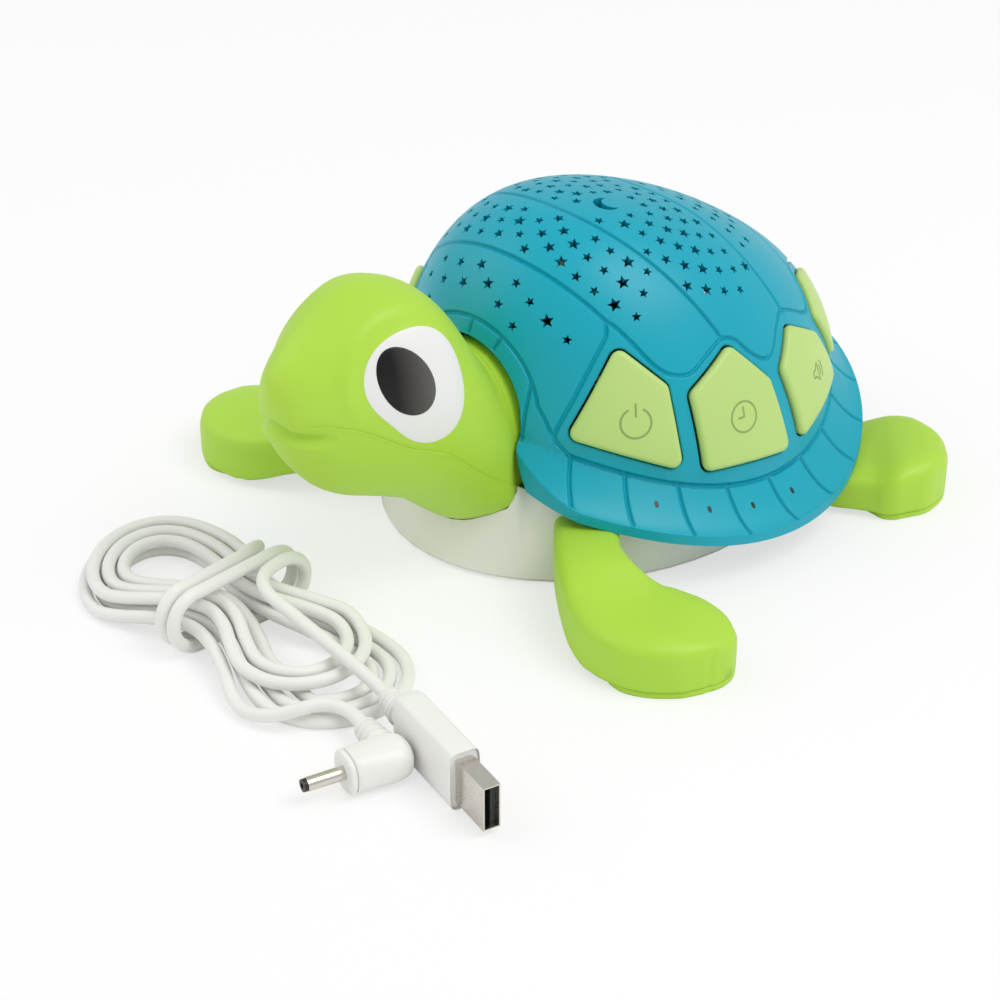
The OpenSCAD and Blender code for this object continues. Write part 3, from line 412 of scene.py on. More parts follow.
def plug_frame(origin, degrees, along, across, up):
    """Points given along, across and above a plug, in the part's frame."""
    run, side = turned(degrees)
    return origin + along[..., None] * run + across[..., None] * side + up[..., None] * np.array([0, 0, 1])


def relief(origin, degrees, length):
    """A sleeve that widens from the cord to the plug, with four soft ribs: the tops of a cosine, eased."""
    x = np.linspace(0.05, length + RELIEF_OVERLAP, RELIEF_ROWS)
    pitch = (length - RIB_ROOM) / 3
    wave = np.cos(2 * np.pi * (x - RIB_FIRST) / pitch)
    rib = ease((wave + 0.5) / 1.1) * (x < RIB_FIRST + 3.5 * pitch)
    radius = RELIEF_R + RELIEF_WIDEN * x / length + RELIEF_RIBS * rib
    cosine, sine = oval_ring(2)
    return ring_solid(plug_frame(origin, degrees, np.repeat(x[:, None], PLUG_COLUMNS, 1),
                                 radius[:, None] * cosine, radius[:, None] * sine))


def joined(*solids):
    """Several solids as one mesh."""
    starts = np.cumsum([0] + [len(points) for points, _ in solids])
    faces = [[k + start for k in face] for (_, solid), start in zip(solids, starts) for face in solid]
    return np.concatenate([points for points, _ in solids]), faces


def dc_body():
    """The barrel plug's body: superellipse rings square to its barrel, by the rows of DC_BODY."""
    y, half, tall = (column[:, None] for column in smooth_line(np.array(DC_BODY), 3).T)
    cosine, sine = oval_ring(DC_ROUND)
    return ring_solid(plug_frame(DC_AT, DC_TURN, DC_MID + half * cosine, y + 0 * cosine, tall * sine))


def usb_body():
    """The USB plug's body: superellipse rings along it, each a share of its full width and height."""
    x, share = (column[:, None] for column in smooth_line(np.array(USB_BODY), 3).T)
    cosine, sine = oval_ring(USB_ROUND)
    return ring_solid(plug_frame(USB_AT, USB_TURN, x + 0 * cosine, share * USB_HALF[0] * cosine,
                                 share * USB_HALF[1] * sine))


plug_paint = Paint("plug_white", roughness=0.4)
plug_paint.set(Base_Color=plug_paint.mix(plug_paint.noise(12), (0.87, 0.865, 0.83), (0.90, 0.895, 0.87)))
plug_paint.bump(plug_paint.noise(0.4), 0.015, 0.5)
nickel_paint = Paint("nickel", metallic=1.0)
nickel_scuff = nickel_paint.noise(1.5)
nickel_paint.set(Base_Color=nickel_paint.mix(nickel_paint.noise(6), (0.66, 0.62, 0.55), (0.74, 0.71, 0.66)),
                 Roughness=0.18 + 0.16 * nickel_scuff)
black_paint = Paint("black_plastic")
black_cloud = black_paint.noise(8)
black_paint.set(Base_Color=black_paint.mix(black_cloud, (0.012, 0.012, 0.013), (0.022, 0.021, 0.021)),
                Roughness=0.35 + 0.2 * black_paint.noise(0.8))


def dress(names, paint):
    """Gives solids that show as they are a paint."""
    for name in names:
        nodes[name].data.materials.clear()
        nodes[name].data.materials.append(paint.material)


for plug_name, solids in (("dc_plug_body", (relief(DC_AT, DC_TURN, DC_RELIEF), dc_body())),
                          ("usb_plug_body", (relief(USB_AT, USB_TURN, USB_RELIEF), usb_body()))):
    plug = make_mesh(f"{plug_name}_skin", *joined(*solids), plug_paint)
    plug.data.set_sharp_from_angle(angle=math.radians(50))
    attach(plug, "body")
    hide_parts(plug_name)
dress(["dc_barrel", "usb_shell"], nickel_paint)
dress(["dc_tip", "usb_tongue"], black_paint)

# Shell
# One satin teal moulding: a dome cut through with stars and a moon, grooves that mark its plates, a sloping
# brim of tiles, an upright lip and an arch over the neck. Four screws hold it to the base from below.
SHELL_R = 72
SHELL_Y = 26.7
EDGE_Z = 9.8
SADDLE_H = 19
LIP_H = 3
BRIM_H = 13
BRIM_W = 10
DOME_H = 78
DOME_LEAN = 15
ROUND_PLAN = 2.55
ROUND_SIDE = 1.55
SADDLE_FADE = 3
BRIM_COVE = 1.35
RING_R = SHELL_R - BRIM_W
WALL = 2.5
DOME_W = 90
LIP_W = 100
EDGE_W = LIP_W + LIP_H
DRAW_FROM = 36
DRAW_OVER = 18
DRAW_IN = 0.85
DRAW_CURVE = 1.2
ARCH_R = 20.5
ARCH_Z = 42


def circle(angle):
    """The points of the unit circle at those angles: their cosines and sines."""
    return np.stack([np.cos(angle), np.sin(angle)], -1)


def polar(a, w):
    """Flat chart of the skin: azimuth a in degrees, and w as the distance from the top."""
    return np.asarray(w)[..., None] * circle(np.radians(a))


def brim_share(s):
    """How far out the brim reaches, by the azimuth's sine: it draws in towards the arch's feet."""
    from_front = np.degrees(np.arccos(np.clip(-s, -1, 1)))
    return 1 - DRAW_IN * np.clip((DRAW_FROM - from_front) / DRAW_OVER, 0, 1) ** DRAW_CURVE


def brim_reach(w, s):
    """How far across the brim a chart point lies, from 0 at the dome to the brim's share at the lip."""
    return np.clip((w - DOME_W) / (LIP_W - DOME_W), 0, 1) * brim_share(s)


def skin(chart):
    """The skin over a chart point: a superellipse dome to DOME_W, a coved brim to LIP_W, then the lip."""
    w = np.hypot(chart[..., 0], chart[..., 1])
    s = chart[..., 1] / np.maximum(w, 1e-9)
    c = chart[..., 0] / np.maximum(w, 1e-9)
    up = np.radians(np.minimum(w, DOME_W))
    q = np.sin(up) ** (2 / ROUND_PLAN)
    t = brim_reach(w, s)
    r = RING_R * q + BRIM_W * t
    lean = DOME_LEAN * q * s * (1 - q**4)
    dome = BRIM_H + (DOME_H - BRIM_H) * np.maximum(np.cos(up), 0) ** (2 / ROUND_SIDE) - lean
    brim = LIP_H + (BRIM_H - LIP_H) * (1 - t) ** BRIM_COVE
    brim = brim * (1 - np.maximum(w - LIP_W, 0) / LIP_H)
    z = EDGE_Z + SADDLE_H * s**2 * q**SADDLE_FADE + np.where(w < DOME_W, dome, brim)
    return np.stack([r * c, SHELL_Y + r * s, z], -1)


def skin_slopes(chart, h=0.15):
    """How the skin's point moves along the chart's two axes."""
    return [(skin(chart + step) - skin(chart - step)) / (2 * h) for step in np.array([[h, 0], [0, h]])]


def skin_normal(chart):
    """The skin's outward direction: the cross product of its two slopes."""
    return unit(np.cross(*skin_slopes(chart)))


def chart_step(chart, move):
    """The step on the chart that moves the skin's point by a small vector, by least squares."""
    du, dv = skin_slopes(chart)
    uu, uv, vv = (du * du).sum(-1), (du * dv).sum(-1), (dv * dv).sum(-1)
    mu, mv = (du * move).sum(-1), (dv * move).sum(-1)
    det = np.maximum(uu * vv - uv * uv, 1e-9)
    return np.stack([(mu * vv - mv * uv) / det, (mv * uu - mu * uv) / det], -1)


def axes_at(normal):
    """Level and rising directions in the plane square to a normal."""
    level = unit(np.cross([0, 0, 1.0], normal))
    return level, np.cross(normal, level)


def chart_under(chart, offsets, rounds=12):
    """Chart points whose skin lies at offsets in the flat plane at a place, by steps along its slopes."""
    origin, normal = skin(chart), skin_normal(chart)
    level, rise = axes_at(normal)
    found = np.repeat(chart[None], len(offsets), 0)
    for _ in range(rounds):
        gap = skin(found) - origin
        miss = offsets - np.stack([gap @ level, gap @ rise], -1)
        du, dv = skin_slopes(found)
        a, b, c, d = du @ level, dv @ level, du @ rise, dv @ rise
        det = a * d - b * c
        step = np.stack([d * miss[:, 0] - b * miss[:, 1], a * miss[:, 1] - c * miss[:, 0]], -1)
        found = found + np.clip(step / det[:, None], -8, 8)
    return found


# Star holes
# A sunflower of places, left out where a groove, the moon, a screw boss or the arch needs the room.
STAR_FIELD_R = 45.5
STAR_PLACES = 245
STAR_SIZE = 1.75
STAR_SIZES = np.array([0.86, 1.12, 0.98, 1.18, 0.9, 1.05, 0.84])
STAR_WAIST = 0.45
STAR_TURN = 47.0
STAR_Y = SHELL_Y - 12
STAR_GROOVE_ROOM = 0.7
STAR_MOON_ROOM = 1
STAR_BOSS_ROOM = 0.5
STAR_ARCH_ROOM = 6
GOLDEN_ANGLE = 137.508
MOON_XY = np.array([9.5, SHELL_Y - 14.8])
MOON_R = 3.6
MOON_INNER = 0.8
MOON_SHIFT = 0.55
MOON_TURN = -45
BOSS_PLACES = np.array([[40.8, SHELL_Y - 22.5], [36, SHELL_Y + 25.5]])
BOSS_R = 3.6
DOME_GROOVES = [(SHELL_Y - 45.1, 0.0062), (SHELL_Y - 26.9, 0.0066), (SHELL_Y + 8.4, 0.004)]


def chart_over(xy):
    """The chart point of the skin straight above a point of the plan."""
    x, y = xy[..., 0], xy[..., 1] - SHELL_Y
    w = np.degrees(np.arcsin(np.minimum(np.hypot(x, y) / RING_R, 1) ** (ROUND_PLAN / 2)))
    return polar(np.degrees(np.arctan2(y, x)), w)


def star_outline(radius, turn):
    """A five-pointed star."""
    k = np.arange(10)
    reach = np.where(k % 2 == 0, radius, radius * STAR_WAIST)
    return reach[:, None] * circle(np.radians(36 * k + turn))


def moon_outline():
    """A crescent: a circle's far side, then a smaller and shifted circle's side back."""
    outer, inner, shift = MOON_R, MOON_R * MOON_INNER, MOON_R * MOON_SHIFT
    meet = math.acos((outer**2 + shift**2 - inner**2) / (2 * outer * shift))
    bite = math.atan2(outer * math.sin(meet), outer * math.cos(meet) - shift)
    far = np.linspace(meet, 2 * np.pi - meet, 22)
    near = np.linspace(2 * np.pi - bite, bite, 16)[1:-1]
    turn = math.radians(MOON_TURN)
    spin = np.array([[math.cos(turn), math.sin(turn)], [-math.sin(turn), math.cos(turn)]])
    return np.concatenate([outer * circle(far), inner * circle(near) + [shift, 0]]) @ spin


star_number = np.arange(STAR_PLACES)
star_angle = np.radians(star_number * GOLDEN_ANGLE)
star_reach = STAR_FIELD_R * np.sqrt((star_number + 0.5) / STAR_PLACES)
star_xy = star_reach[:, None] * circle(star_angle) + [0, STAR_Y]
star_radius = STAR_SIZE * STAR_SIZES[(star_number * 5 + star_number // 7) % 7]
groove_room = np.min([np.abs(star_xy[:, 1] - y0 - k * star_xy[:, 0] ** 2) for y0, k in DOME_GROOVES], 0)
moon_room = np.linalg.norm(star_xy - MOON_XY, axis=1) - MOON_R
boss_gaps = [np.hypot(np.abs(star_xy[:, 0]) - x, star_xy[:, 1] - y) for x, y in BOSS_PLACES]
boss_room = np.min(boss_gaps, 0) - BOSS_R
star_chart = chart_over(star_xy)
arch_room = np.hypot(star_xy[:, 0], skin(star_chart)[:, 2] - ARCH_Z) - ARCH_R - STAR_ARCH_ROOM
star_kept = (groove_room > star_radius + STAR_GROOVE_ROOM) & (moon_room > star_radius + STAR_MOON_ROOM)
star_kept &= (boss_room > star_radius + STAR_BOSS_ROOM) & (arch_room > star_radius)
holes = [chart_under(star_chart[i], star_outline(star_radius[i], STAR_TURN * i), rounds=4)
         for i in star_number[star_kept]]
holes.append(chart_under(chart_over(MOON_XY), moon_outline(), rounds=4))

# Lens holes
# Four small light pipes show through the brim under the left buttons.
LENS_A = [-37, -24, -12, 1]
LENS_W = 94
LENS_HOLE = np.array([0.62, 1.0])
LENS_POINTS = 16
lens_ring = LENS_HOLE * circle(2 * np.pi * np.arange(LENS_POINTS) / LENS_POINTS)
holes += [chart_under(polar(a, LENS_W), lens_ring, rounds=4) for a in LENS_A]

# Button openings
# Rounded four-sided and five-sided openings over the brim, the same on both sides.
BUTTON_CORNERS = [
    [(-28.9, 84.2), (-32.5, 61), (-47.4, 54.3), (-59.8, 83)],
    [(4.2, 82.8), (1, 60.4), (-11.8, 50.3), (-27.8, 62.6), (-24.7, 84)],
    [(37.5, 82.5), (32, 60.5), (17.5, 51), (5.5, 60), (8.4, 82.5)],
    [(70, 82.5), (63, 60), (50, 51.5), (37.5, 60.5), (42.5, 82.5)],
]
BUTTON_MID = [(-42, 68), (-11.5, 68), (21, 68), (53, 68)]
BUTTON_CORNER_R = 3
OPENING_STEP = 0.9


def sides_at_corners(points):
    """The directions of the sides that lead to and from each corner of an outline."""
    return unit(points - np.roll(points, 1, 0)), unit(np.roll(points, -1, 0) - points)


def grown(points, d):
    """A convex outline moved outwards by d, each corner where its two moved sides meet."""
    before, after = sides_at_corners(points)
    out_before = np.stack([before[:, 1], -before[:, 0]], -1)
    out_after = np.stack([after[:, 1], -after[:, 0]], -1)
    return points + d * (out_before + out_after) / (1 + (out_before * out_after).sum(-1, keepdims=True))


def rounded(points, radius, steps):
    """An outline with an arc of that radius at each corner."""
    before, after = sides_at_corners(points)
    turn = np.arccos((before * after).sum(-1))
    arc_start = points - radius * np.tan(turn / 2)[:, None] * before
    centre = arc_start + radius * np.stack([-before[:, 1], before[:, 0]], -1)
    angle = np.arctan2(-before[:, 0], before[:, 1])[:, None] + turn[:, None] * np.arange(steps + 1) / steps
    return (centre[:, None] + radius * circle(angle)).reshape(-1, 2)


def resampled(points, spacing, closed=True, count=None):
    """The same line with its points about that far apart, or with so many points."""
    line = np.concatenate([points, points[:1]]) if closed else points
    reach = np.concatenate([[0], np.cumsum(np.linalg.norm(np.diff(line, axis=0), axis=1))])
    count = count or max(int(round(reach[-1] / spacing)), 4)
    stops = np.linspace(0, reach[-1], count + 1)
    stops = stops[:-1] if closed else stops
    return np.stack([np.interp(stops, reach, line[:, k]) for k in range(line.shape[1])], -1)


def button_outline(i, grow):
    """A left button's outline in the flat plane at its middle, counter-clockwise seen from outside."""
    middle = polar(*BUTTON_MID[i])
    level, rise = axes_at(skin_normal(middle))
    corners = skin(np.array([polar(a, w) for a, w in BUTTON_CORNERS[i]])) - skin(middle)
    flat = np.stack([corners @ level, corners @ rise], -1)
    return rounded(grown(flat, grow), max(BUTTON_CORNER_R + grow, 1), 6)


openings = []
for i in range(4):
    opening = chart_under(polar(*BUTTON_MID[i]), resampled(button_outline(i, 0), OPENING_STEP))
    openings += [opening, (opening * [-1, 1])[::-1]]
holes += openings

# Neck arch
# A round-topped opening with flared feet, cut straight back along the turtle's length.
ARCH_FOOT = [(20.5, 41.8), (20.5, 39.5), (20.9, 37.5), (21.6, 34.5), (22.6, 31.5), (23.9, 28.5), (25.4, 26),
             (27, 24)]
ARCH_FLARE = (30, 20)
ARCH_STEP = 0.8


def chart_from_front(xz):
    """The chart point of the skin straight behind a point of the front view, by halving w's range."""
    x, z = xz[:, 0], xz[:, 1]
    nearest = np.degrees(np.arcsin(np.clip(np.abs(x) / RING_R, 0, 0.999) ** (ROUND_PLAN / 2)))
    low, high = nearest + 0.01, np.full(len(x), 110.0)
    for _ in range(40):
        w = (low + high) / 2
        ring = RING_R * np.sin(np.radians(np.minimum(w, DOME_W))) ** (2 / ROUND_PLAN)
        c = np.clip(x / ring, -1, 1)
        for _ in range(6):
            c = np.clip(x / (ring + BRIM_W * brim_reach(w, -np.sqrt(1 - c * c))), -1, 1)
        below = skin(np.stack([w * c, -w * np.sqrt(1 - c * c)], -1))[:, 2] < z
        low, high = np.where(below, low, w), np.where(below, w, high)
    return np.stack([w * c, -w * np.sqrt(1 - c * c)], -1)


crown = np.radians(np.linspace(90, 0, 40))
arch_half = [ARCH_R * circle(crown) + [0, ARCH_Z], smooth_line(np.array(ARCH_FOOT), 5), [ARCH_FLARE]]
arch_right = chart_from_front(resampled(np.concatenate(arch_half), ARCH_STEP, False))
arch = np.concatenate([arch_right, [[0, -2 * EDGE_W]], (arch_right * [-1, 1])[:0:-1]])

# Grooves
# Fine moulded lines: across the dome, round the buttons, down the brim between its tiles, and round the arch.
GROOVE_HALF = 0.85
GROOVE_DEPTH = 0.9
FRAME_LINE = [(-57.8, 90), (-60, 87), (-62, 83.5), (-57.5, 70.5), (-53.5, 61), (-50.2, 54), (-49.8, 50.2),
              (-43, 53.2), (-38, 56.5), (-33.8, 58.5), (-29.5, 58.8), (-25.5, 57.8), (-21.8, 55),
              (-17.2, 51.8), (-12.8, 49.5), (-8, 50), (-4.2, 53), (0, 55.5), (4, 56), (8.2, 53.8),
              (13.2, 50.2), (19.8, 48), (27.5, 51.2), (33, 55), (37, 56.5), (41, 55), (46, 51), (51, 48.6),
              (58, 52), (65, 57.5), (71, 66), (74.5, 78), (76.5, 90)]
ARCH_LINE_R = 25
ARCH_LINE_END = [(26.1, 46.1), (28.3, 42), (31, 38.6)]
ARCH_TICKS = (65, 90)
ARCH_TICK_ENDS = (ARCH_R + 0.6, ARCH_LINE_R - 0.4)
DOME_REACH = (32.5, 48.6, 46.4)
REAR_GROOVE = (SHELL_Y + 36.5, 0.0015, 30)
TILE_FIRST = -57
TILES = 11
TILE_STEP = 13.3636
TILE_BOW = 1.6
TILE_END = 9.2


def both_sides(lines):
    """The lines, and the same ones mirrored."""
    return lines + [line * [-1, 1] for line in lines]


def chart_curve(corners):
    """A smooth line on the chart through azimuth and w pairs."""
    return smooth_line(np.array([polar(a, w) for a, w in corners]), 6)


def dome_groove(y0, k, reach):
    """A bowed line across the dome: y grows with the square of x."""
    x = np.linspace(-reach, reach, 120)
    return chart_over(np.stack([x, y0 + k * x * x], -1))


def tile_groove(number):
    """A short bowed line down the brim."""
    t = np.linspace(0, 1, 14)
    return polar(TILE_FIRST + TILE_STEP * number + TILE_BOW * (t * t - 0.4), DOME_W + TILE_END * t)


arch_turn = np.radians(np.linspace(90, 16, 50))
arch_groove = np.concatenate([ARCH_LINE_R * circle(arch_turn) + [0, ARCH_Z], ARCH_LINE_END])
arch_ticks = [polar(g, np.linspace(*ARCH_TICK_ENDS, 8)) + [0, ARCH_Z] for g in ARCH_TICKS]
wedge = np.linspace((21.3, 54.5), (20.9, 39.5), 20)
brim_top = polar(np.linspace(TILE_FIRST, 180 - TILE_FIRST, 260), DOME_W)
grooves = [dome_groove(*line, reach) for line, reach in zip(DOME_GROOVES, DOME_REACH)]
grooves += [dome_groove(*REAR_GROOVE), brim_top]
grooves += both_sides([chart_curve(FRAME_LINE), chart_from_front(arch_groove), chart_from_front(wedge)])
grooves += both_sides([tile_groove(k) for k in range(TILES)]) + [tile_groove(TILES)]
grooves += [chart_from_front(arch_ticks[1])] + both_sides([chart_from_front(arch_ticks[0])])


def respaced(line, spacing):
    """A chart line with points that far apart on the skin."""
    reach = np.concatenate([[0], np.cumsum(np.linalg.norm(np.diff(skin(line), axis=0), axis=1))])
    stops = np.linspace(0, reach[-1], max(int(reach[-1] / spacing), 2) + 1)
    return np.stack([np.interp(stops, reach, line[:, k]) for k in range(2)], -1)


def chart_near(chart, targets, rounds=6):
    """Chart points whose skin comes closest to some targets near it."""
    for _ in range(rounds):
        chart = chart + np.clip(chart_step(chart, targets - skin(chart)), -1.5, 1.5)
    return chart


def beside(line, offset):
    """The line moved sideways over the skin."""
    tangent = unit(np.gradient(skin(line), axis=0))
    return chart_near(line, skin(line) + offset * np.cross(skin_normal(line), tangent))


def beside_hole(outline, offset):
    """A hole's outline moved outwards over the skin."""
    closed = np.concatenate([outline[-1:], outline, outline[:1]])
    tangent = unit(np.gradient(skin(closed), axis=0))[1:-1]
    return chart_near(outline, skin(outline) - offset * np.cross(skin_normal(outline), tangent))


def nearest(points, lines, chunk=1500):
    """The distance and direction from each point to the closest of some lines of finely spaced points."""
    targets = np.concatenate(lines)
    along = np.concatenate([np.gradient(line, axis=0) for line in lines])
    half = np.linalg.norm(along, axis=1) / 2 + 1e-9
    along = along / (2 * half)[:, None]
    far, way = [], []
    for start in range(0, len(points), chunk):
        part = points[start:start + chunk]
        pick = ((part**2).sum(1)[:, None] - 2 * part @ targets.T + (targets**2).sum(1)).argmin(1)
        gap = part - targets[pick]
        slip = np.clip((gap * along[pick]).sum(1), -half[pick], half[pick])
        gap = gap - slip[:, None] * along[pick]
        size = np.linalg.norm(gap, axis=1)
        far.append(size)
        way.append(gap / np.maximum(size, 1e-6)[:, None])
    return np.concatenate(far), np.concatenate(way)


def inside(points, outline):
    """Which points lie in a closed outline: how often a ray to the right crosses it."""
    a, b = outline, np.roll(outline, -1, 0)
    x, y = points[:, :1], points[:, 1:]
    straddles = (a[:, 1] > y) != (b[:, 1] > y)
    rise = np.where(np.abs(b[:, 1] - a[:, 1]) < 1e-12, 1e-12, b[:, 1] - a[:, 1])
    cross_x = a[:, 0] + (y - a[:, 1]) * (b[:, 0] - a[:, 0]) / rise
    return (straddles & (x < cross_x)).sum(1) % 2 == 1


# Shell mesh
# The chart's points: a honeycomb, left out beside the lines, rows along each groove, and rings round the
# openings. Triangles join them with every outline kept, and those inside a hole or the arch are dropped.
HONEYCOMB = 1.9
HONEYCOMB_HALF = EDGE_W + 2
HONEYCOMB_END = 98.2
HONEYCOMB_ROOM = (1.5, 0.8)
GROOVE_ROWS = (0, 0.22, -0.22, 0.44, -0.44, 0.66, -0.66, 0.9, -0.9, 1.3, -1.3)
GROOVE_STEP = 0.85
GROOVE_CORE_STEP = 0.25
OPENING_RINGS = (0.15, 0.3, 0.5)
OPENING_CORE_STEP = 0.15
ARCH_ROWS = (0.3, 0.8)
RIM_ROWS = (99, 99.7, 100.3, 101.2)
RIM_STEP = 0.75
RIM_ROOM = 0.2
RIM_CHORD = 0.4
EDGE_ROLL = 0.45
LATTICE = 0.16
CROWDED = 0.12
groove_lines = [respaced(line, GROOVE_STEP) for line in grooves]
groove_rows = np.concatenate([beside(line, o) for line in groove_lines for o in GROOVE_ROWS])
groove_core = [skin(respaced(line, GROOVE_CORE_STEP)) for line in grooves]
hole_rings = np.concatenate([beside_hole(hole, o) for hole in openings for o in OPENING_RINGS])
closed_openings = [np.concatenate([hole, hole[:1]]) for hole in openings]
hole_core = [skin(resampled(hole, OPENING_CORE_STEP, False)) for hole in closed_openings]
hole_edges = [skin(hole) for hole in holes]
arch_rows = np.concatenate([beside(arch_right, o) * side for o in ARCH_ROWS for side in ([1, 1], [-1, 1])])
rim = circle(np.radians(np.arange(0, 360, RIM_STEP)))
rim_rows = [w * rim for w in RIM_ROWS]
edge_ring = EDGE_W * rim
comb_x, comb_y = np.meshgrid(np.arange(-HONEYCOMB_HALF, HONEYCOMB_HALF, HONEYCOMB),
                             np.arange(-HONEYCOMB_HALF, HONEYCOMB_HALF, HONEYCOMB * 0.866))
comb_x[1::2] += HONEYCOMB / 2
comb = np.stack([comb_x.ravel(), comb_y.ravel()], -1)
comb = comb[np.hypot(comb[:, 0], comb[:, 1]) < HONEYCOMB_END]
groove_clear = nearest(skin(comb), groove_core)[0] > HONEYCOMB_ROOM[0]
hole_clear = nearest(skin(comb), hole_edges)[0] > HONEYCOMB_ROOM[1]
comb = comb[groove_clear & hole_clear]
loose = np.concatenate([groove_rows, hole_rings, arch_rows, *rim_rows, comb])
loose = loose[np.hypot(loose[:, 0], loose[:, 1]) < EDGE_W - RIM_ROOM]
lattice = np.round(loose / LATTICE).astype(int)
loose = loose[np.sort(np.unique(lattice, axis=0, return_index=True)[1])]
outlines = holes + [edge_ring, arch]
fixed = np.concatenate(outlines)
crowded = nearest(skin(loose), [skin(outline) for outline in outlines])[0] < CROWDED
loose = loose[~crowded]
ties, start = [], 0
for outline in outlines:
    number = start + np.arange(len(outline))
    ties.append(np.stack([number, np.roll(number, -1)], -1))
    start += len(outline)
chart_points, _, chart_faces, _, _, _ = delaunay_2d_cdt(
    np.concatenate([fixed, loose]).tolist(), np.concatenate(ties).tolist(), [], 0, 1e-5)
chart_points = np.array(chart_points)
chart_faces = np.array(chart_faces)
middle = chart_points[chart_faces].mean(1)
kept = np.hypot(middle[:, 0], middle[:, 1]) < EDGE_W * math.cos(math.radians(RIM_CHORD))
kept &= ~inside(middle, arch)
for hole in holes:
    near = np.where((np.abs(middle - hole.mean(0)) <= np.ptp(hole, axis=0)).all(1))[0]
    kept[near[inside(middle[near], hole)]] = False
chart_faces = chart_faces[kept]
used, chart_faces = np.unique(chart_faces, return_inverse=True)
chart_points, chart_faces = chart_points[used], chart_faces.reshape(-1, 3)

# Shell wall
# The skin, with its grooves sunk and its opening edges rolled, a second skin inside it, and the rims that
# join the two.
ARCH_THICK = 2.6
ARCH_THICK_REACH = 7
skin_points = skin(chart_points)
skin_out = skin_normal(chart_points)
groove_gap, groove_way = nearest(skin_points, groove_core)
hole_gap, hole_way = nearest(skin_points, hole_core)
in_groove = np.clip(groove_gap / GROOVE_HALF, 0, 1)
sunk = GROOVE_DEPTH * (1 + np.cos(np.pi * in_groove)) / 2
sunk_slope = -GROOVE_DEPTH * np.pi / (2 * GROOVE_HALF) * np.sin(np.pi * in_groove)
in_roll = np.clip(1 - hole_gap / EDGE_ROLL, 0, 0.98)
rolled = EDGE_ROLL * (1 - np.sqrt(1 - in_roll**2))
rolled_slope = -in_roll / np.sqrt(1 - in_roll**2)
outer = skin_points - (sunk + rolled)[:, None] * skin_out
lit = unit(skin_out + sunk_slope[:, None] * groove_way + rolled_slope[:, None] * hole_way)
arch_gap, _ = nearest(skin_points, [skin(arch_right), skin(arch_right * [-1, 1])])
thick = WALL + ARCH_THICK * ease(1 - arch_gap / ARCH_THICK_REACH)
inner = skin_points - thick[:, None] * skin_out
sides = np.concatenate([chart_faces[:, pair] for pair in ([0, 1], [1, 2], [2, 0])])
_, first, count = np.unique(np.sort(sides, 1), axis=0, return_index=True, return_counts=True)
open_sides = sides[first[count == 1]]
total = len(outer)
a, b = open_sides[:, 0], open_sides[:, 1]
rims = np.concatenate([np.stack([b, a, a + total], -1), np.stack([b, a + total, b + total], -1)])
shell_points = np.concatenate([outer, inner])
shell_faces = np.concatenate([chart_faces, chart_faces[:, ::-1] + total, rims])
edge_1 = shell_points[rims[:, 1]] - shell_points[rims[:, 0]]
edge_2 = shell_points[rims[:, 2]] - shell_points[rims[:, 0]]
rim_out = np.repeat(unit(np.cross(edge_1, edge_2) + 1e-12)[:, None], 3, 1)
corner_normals = np.concatenate([lit[chart_faces], -skin_out[chart_faces[:, ::-1]], rim_out]).reshape(-1, 3)
CLOUD_SIZE = 45
GRAIN_SIZE = 0.35
GRAIN_DEPTH = 0.012


def moulded(name, low, high, roughness):
    """A moulded plastic: two close shades in slow clouds, and a fine grain that breaks its gloss."""
    paint = Paint(name)
    cloud = paint.noise(CLOUD_SIZE).between(0.3, 0.7)
    grain = paint.noise(GRAIN_SIZE, 1.0)
    paint.set(Base_Color=paint.mix(cloud, low, high), Roughness=roughness + 0.1 * grain - 0.05)
    return paint.bump(grain, GRAIN_DEPTH, 0.6)


shell_paint = moulded("shell_teal", (0.001, 0.372, 0.495), (0.001, 0.392, 0.520), 0.38)
shell_paint.set(Specular_IOR_Level=0.36)
shell = make_mesh("shell_moulding", shell_points, shell_faces, shell_paint)
shell.data.normals_split_custom_set(corner_normals.tolist())
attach(shell, "body")
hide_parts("shell")

# Buttons
# Eight pale moulded caps with rounded edges, each loose in its opening on a stem over a switch. Three on the
# left carry thin printed marks: a power sign, a clock and a loudspeaker.
BUTTON_TOP = 1.7
BUTTON_ROLL = 1.5
BUTTON_SKIRT = 3.4
CAP_ROOM = 0.52
SKIRT_ROOM = 1.3
BUTTON_RING = 132
BUTTON_INNER = (0.85, 0.7, 0.55, 0.4, 0.25, 0.1)
button_paint = moulded("button_pale", (0.500, 0.700, 0.205), (0.530, 0.730, 0.225), 0.42)
mark_paint = Paint("mark_grey", roughness=0.6)
mark_paint.set(Base_Color=mark_paint.mix(mark_paint.noise(1.5), (0.27, 0.37, 0.11), (0.30, 0.41, 0.13)))


def on_button(i, offsets, height):
    """Points over a left button, given in the flat plane at its middle, at a height over the skin."""
    chart = chart_under(polar(*BUTTON_MID[i]), offsets)
    return skin(chart) + np.broadcast_to(height, len(offsets))[:, None] * skin_normal(chart)


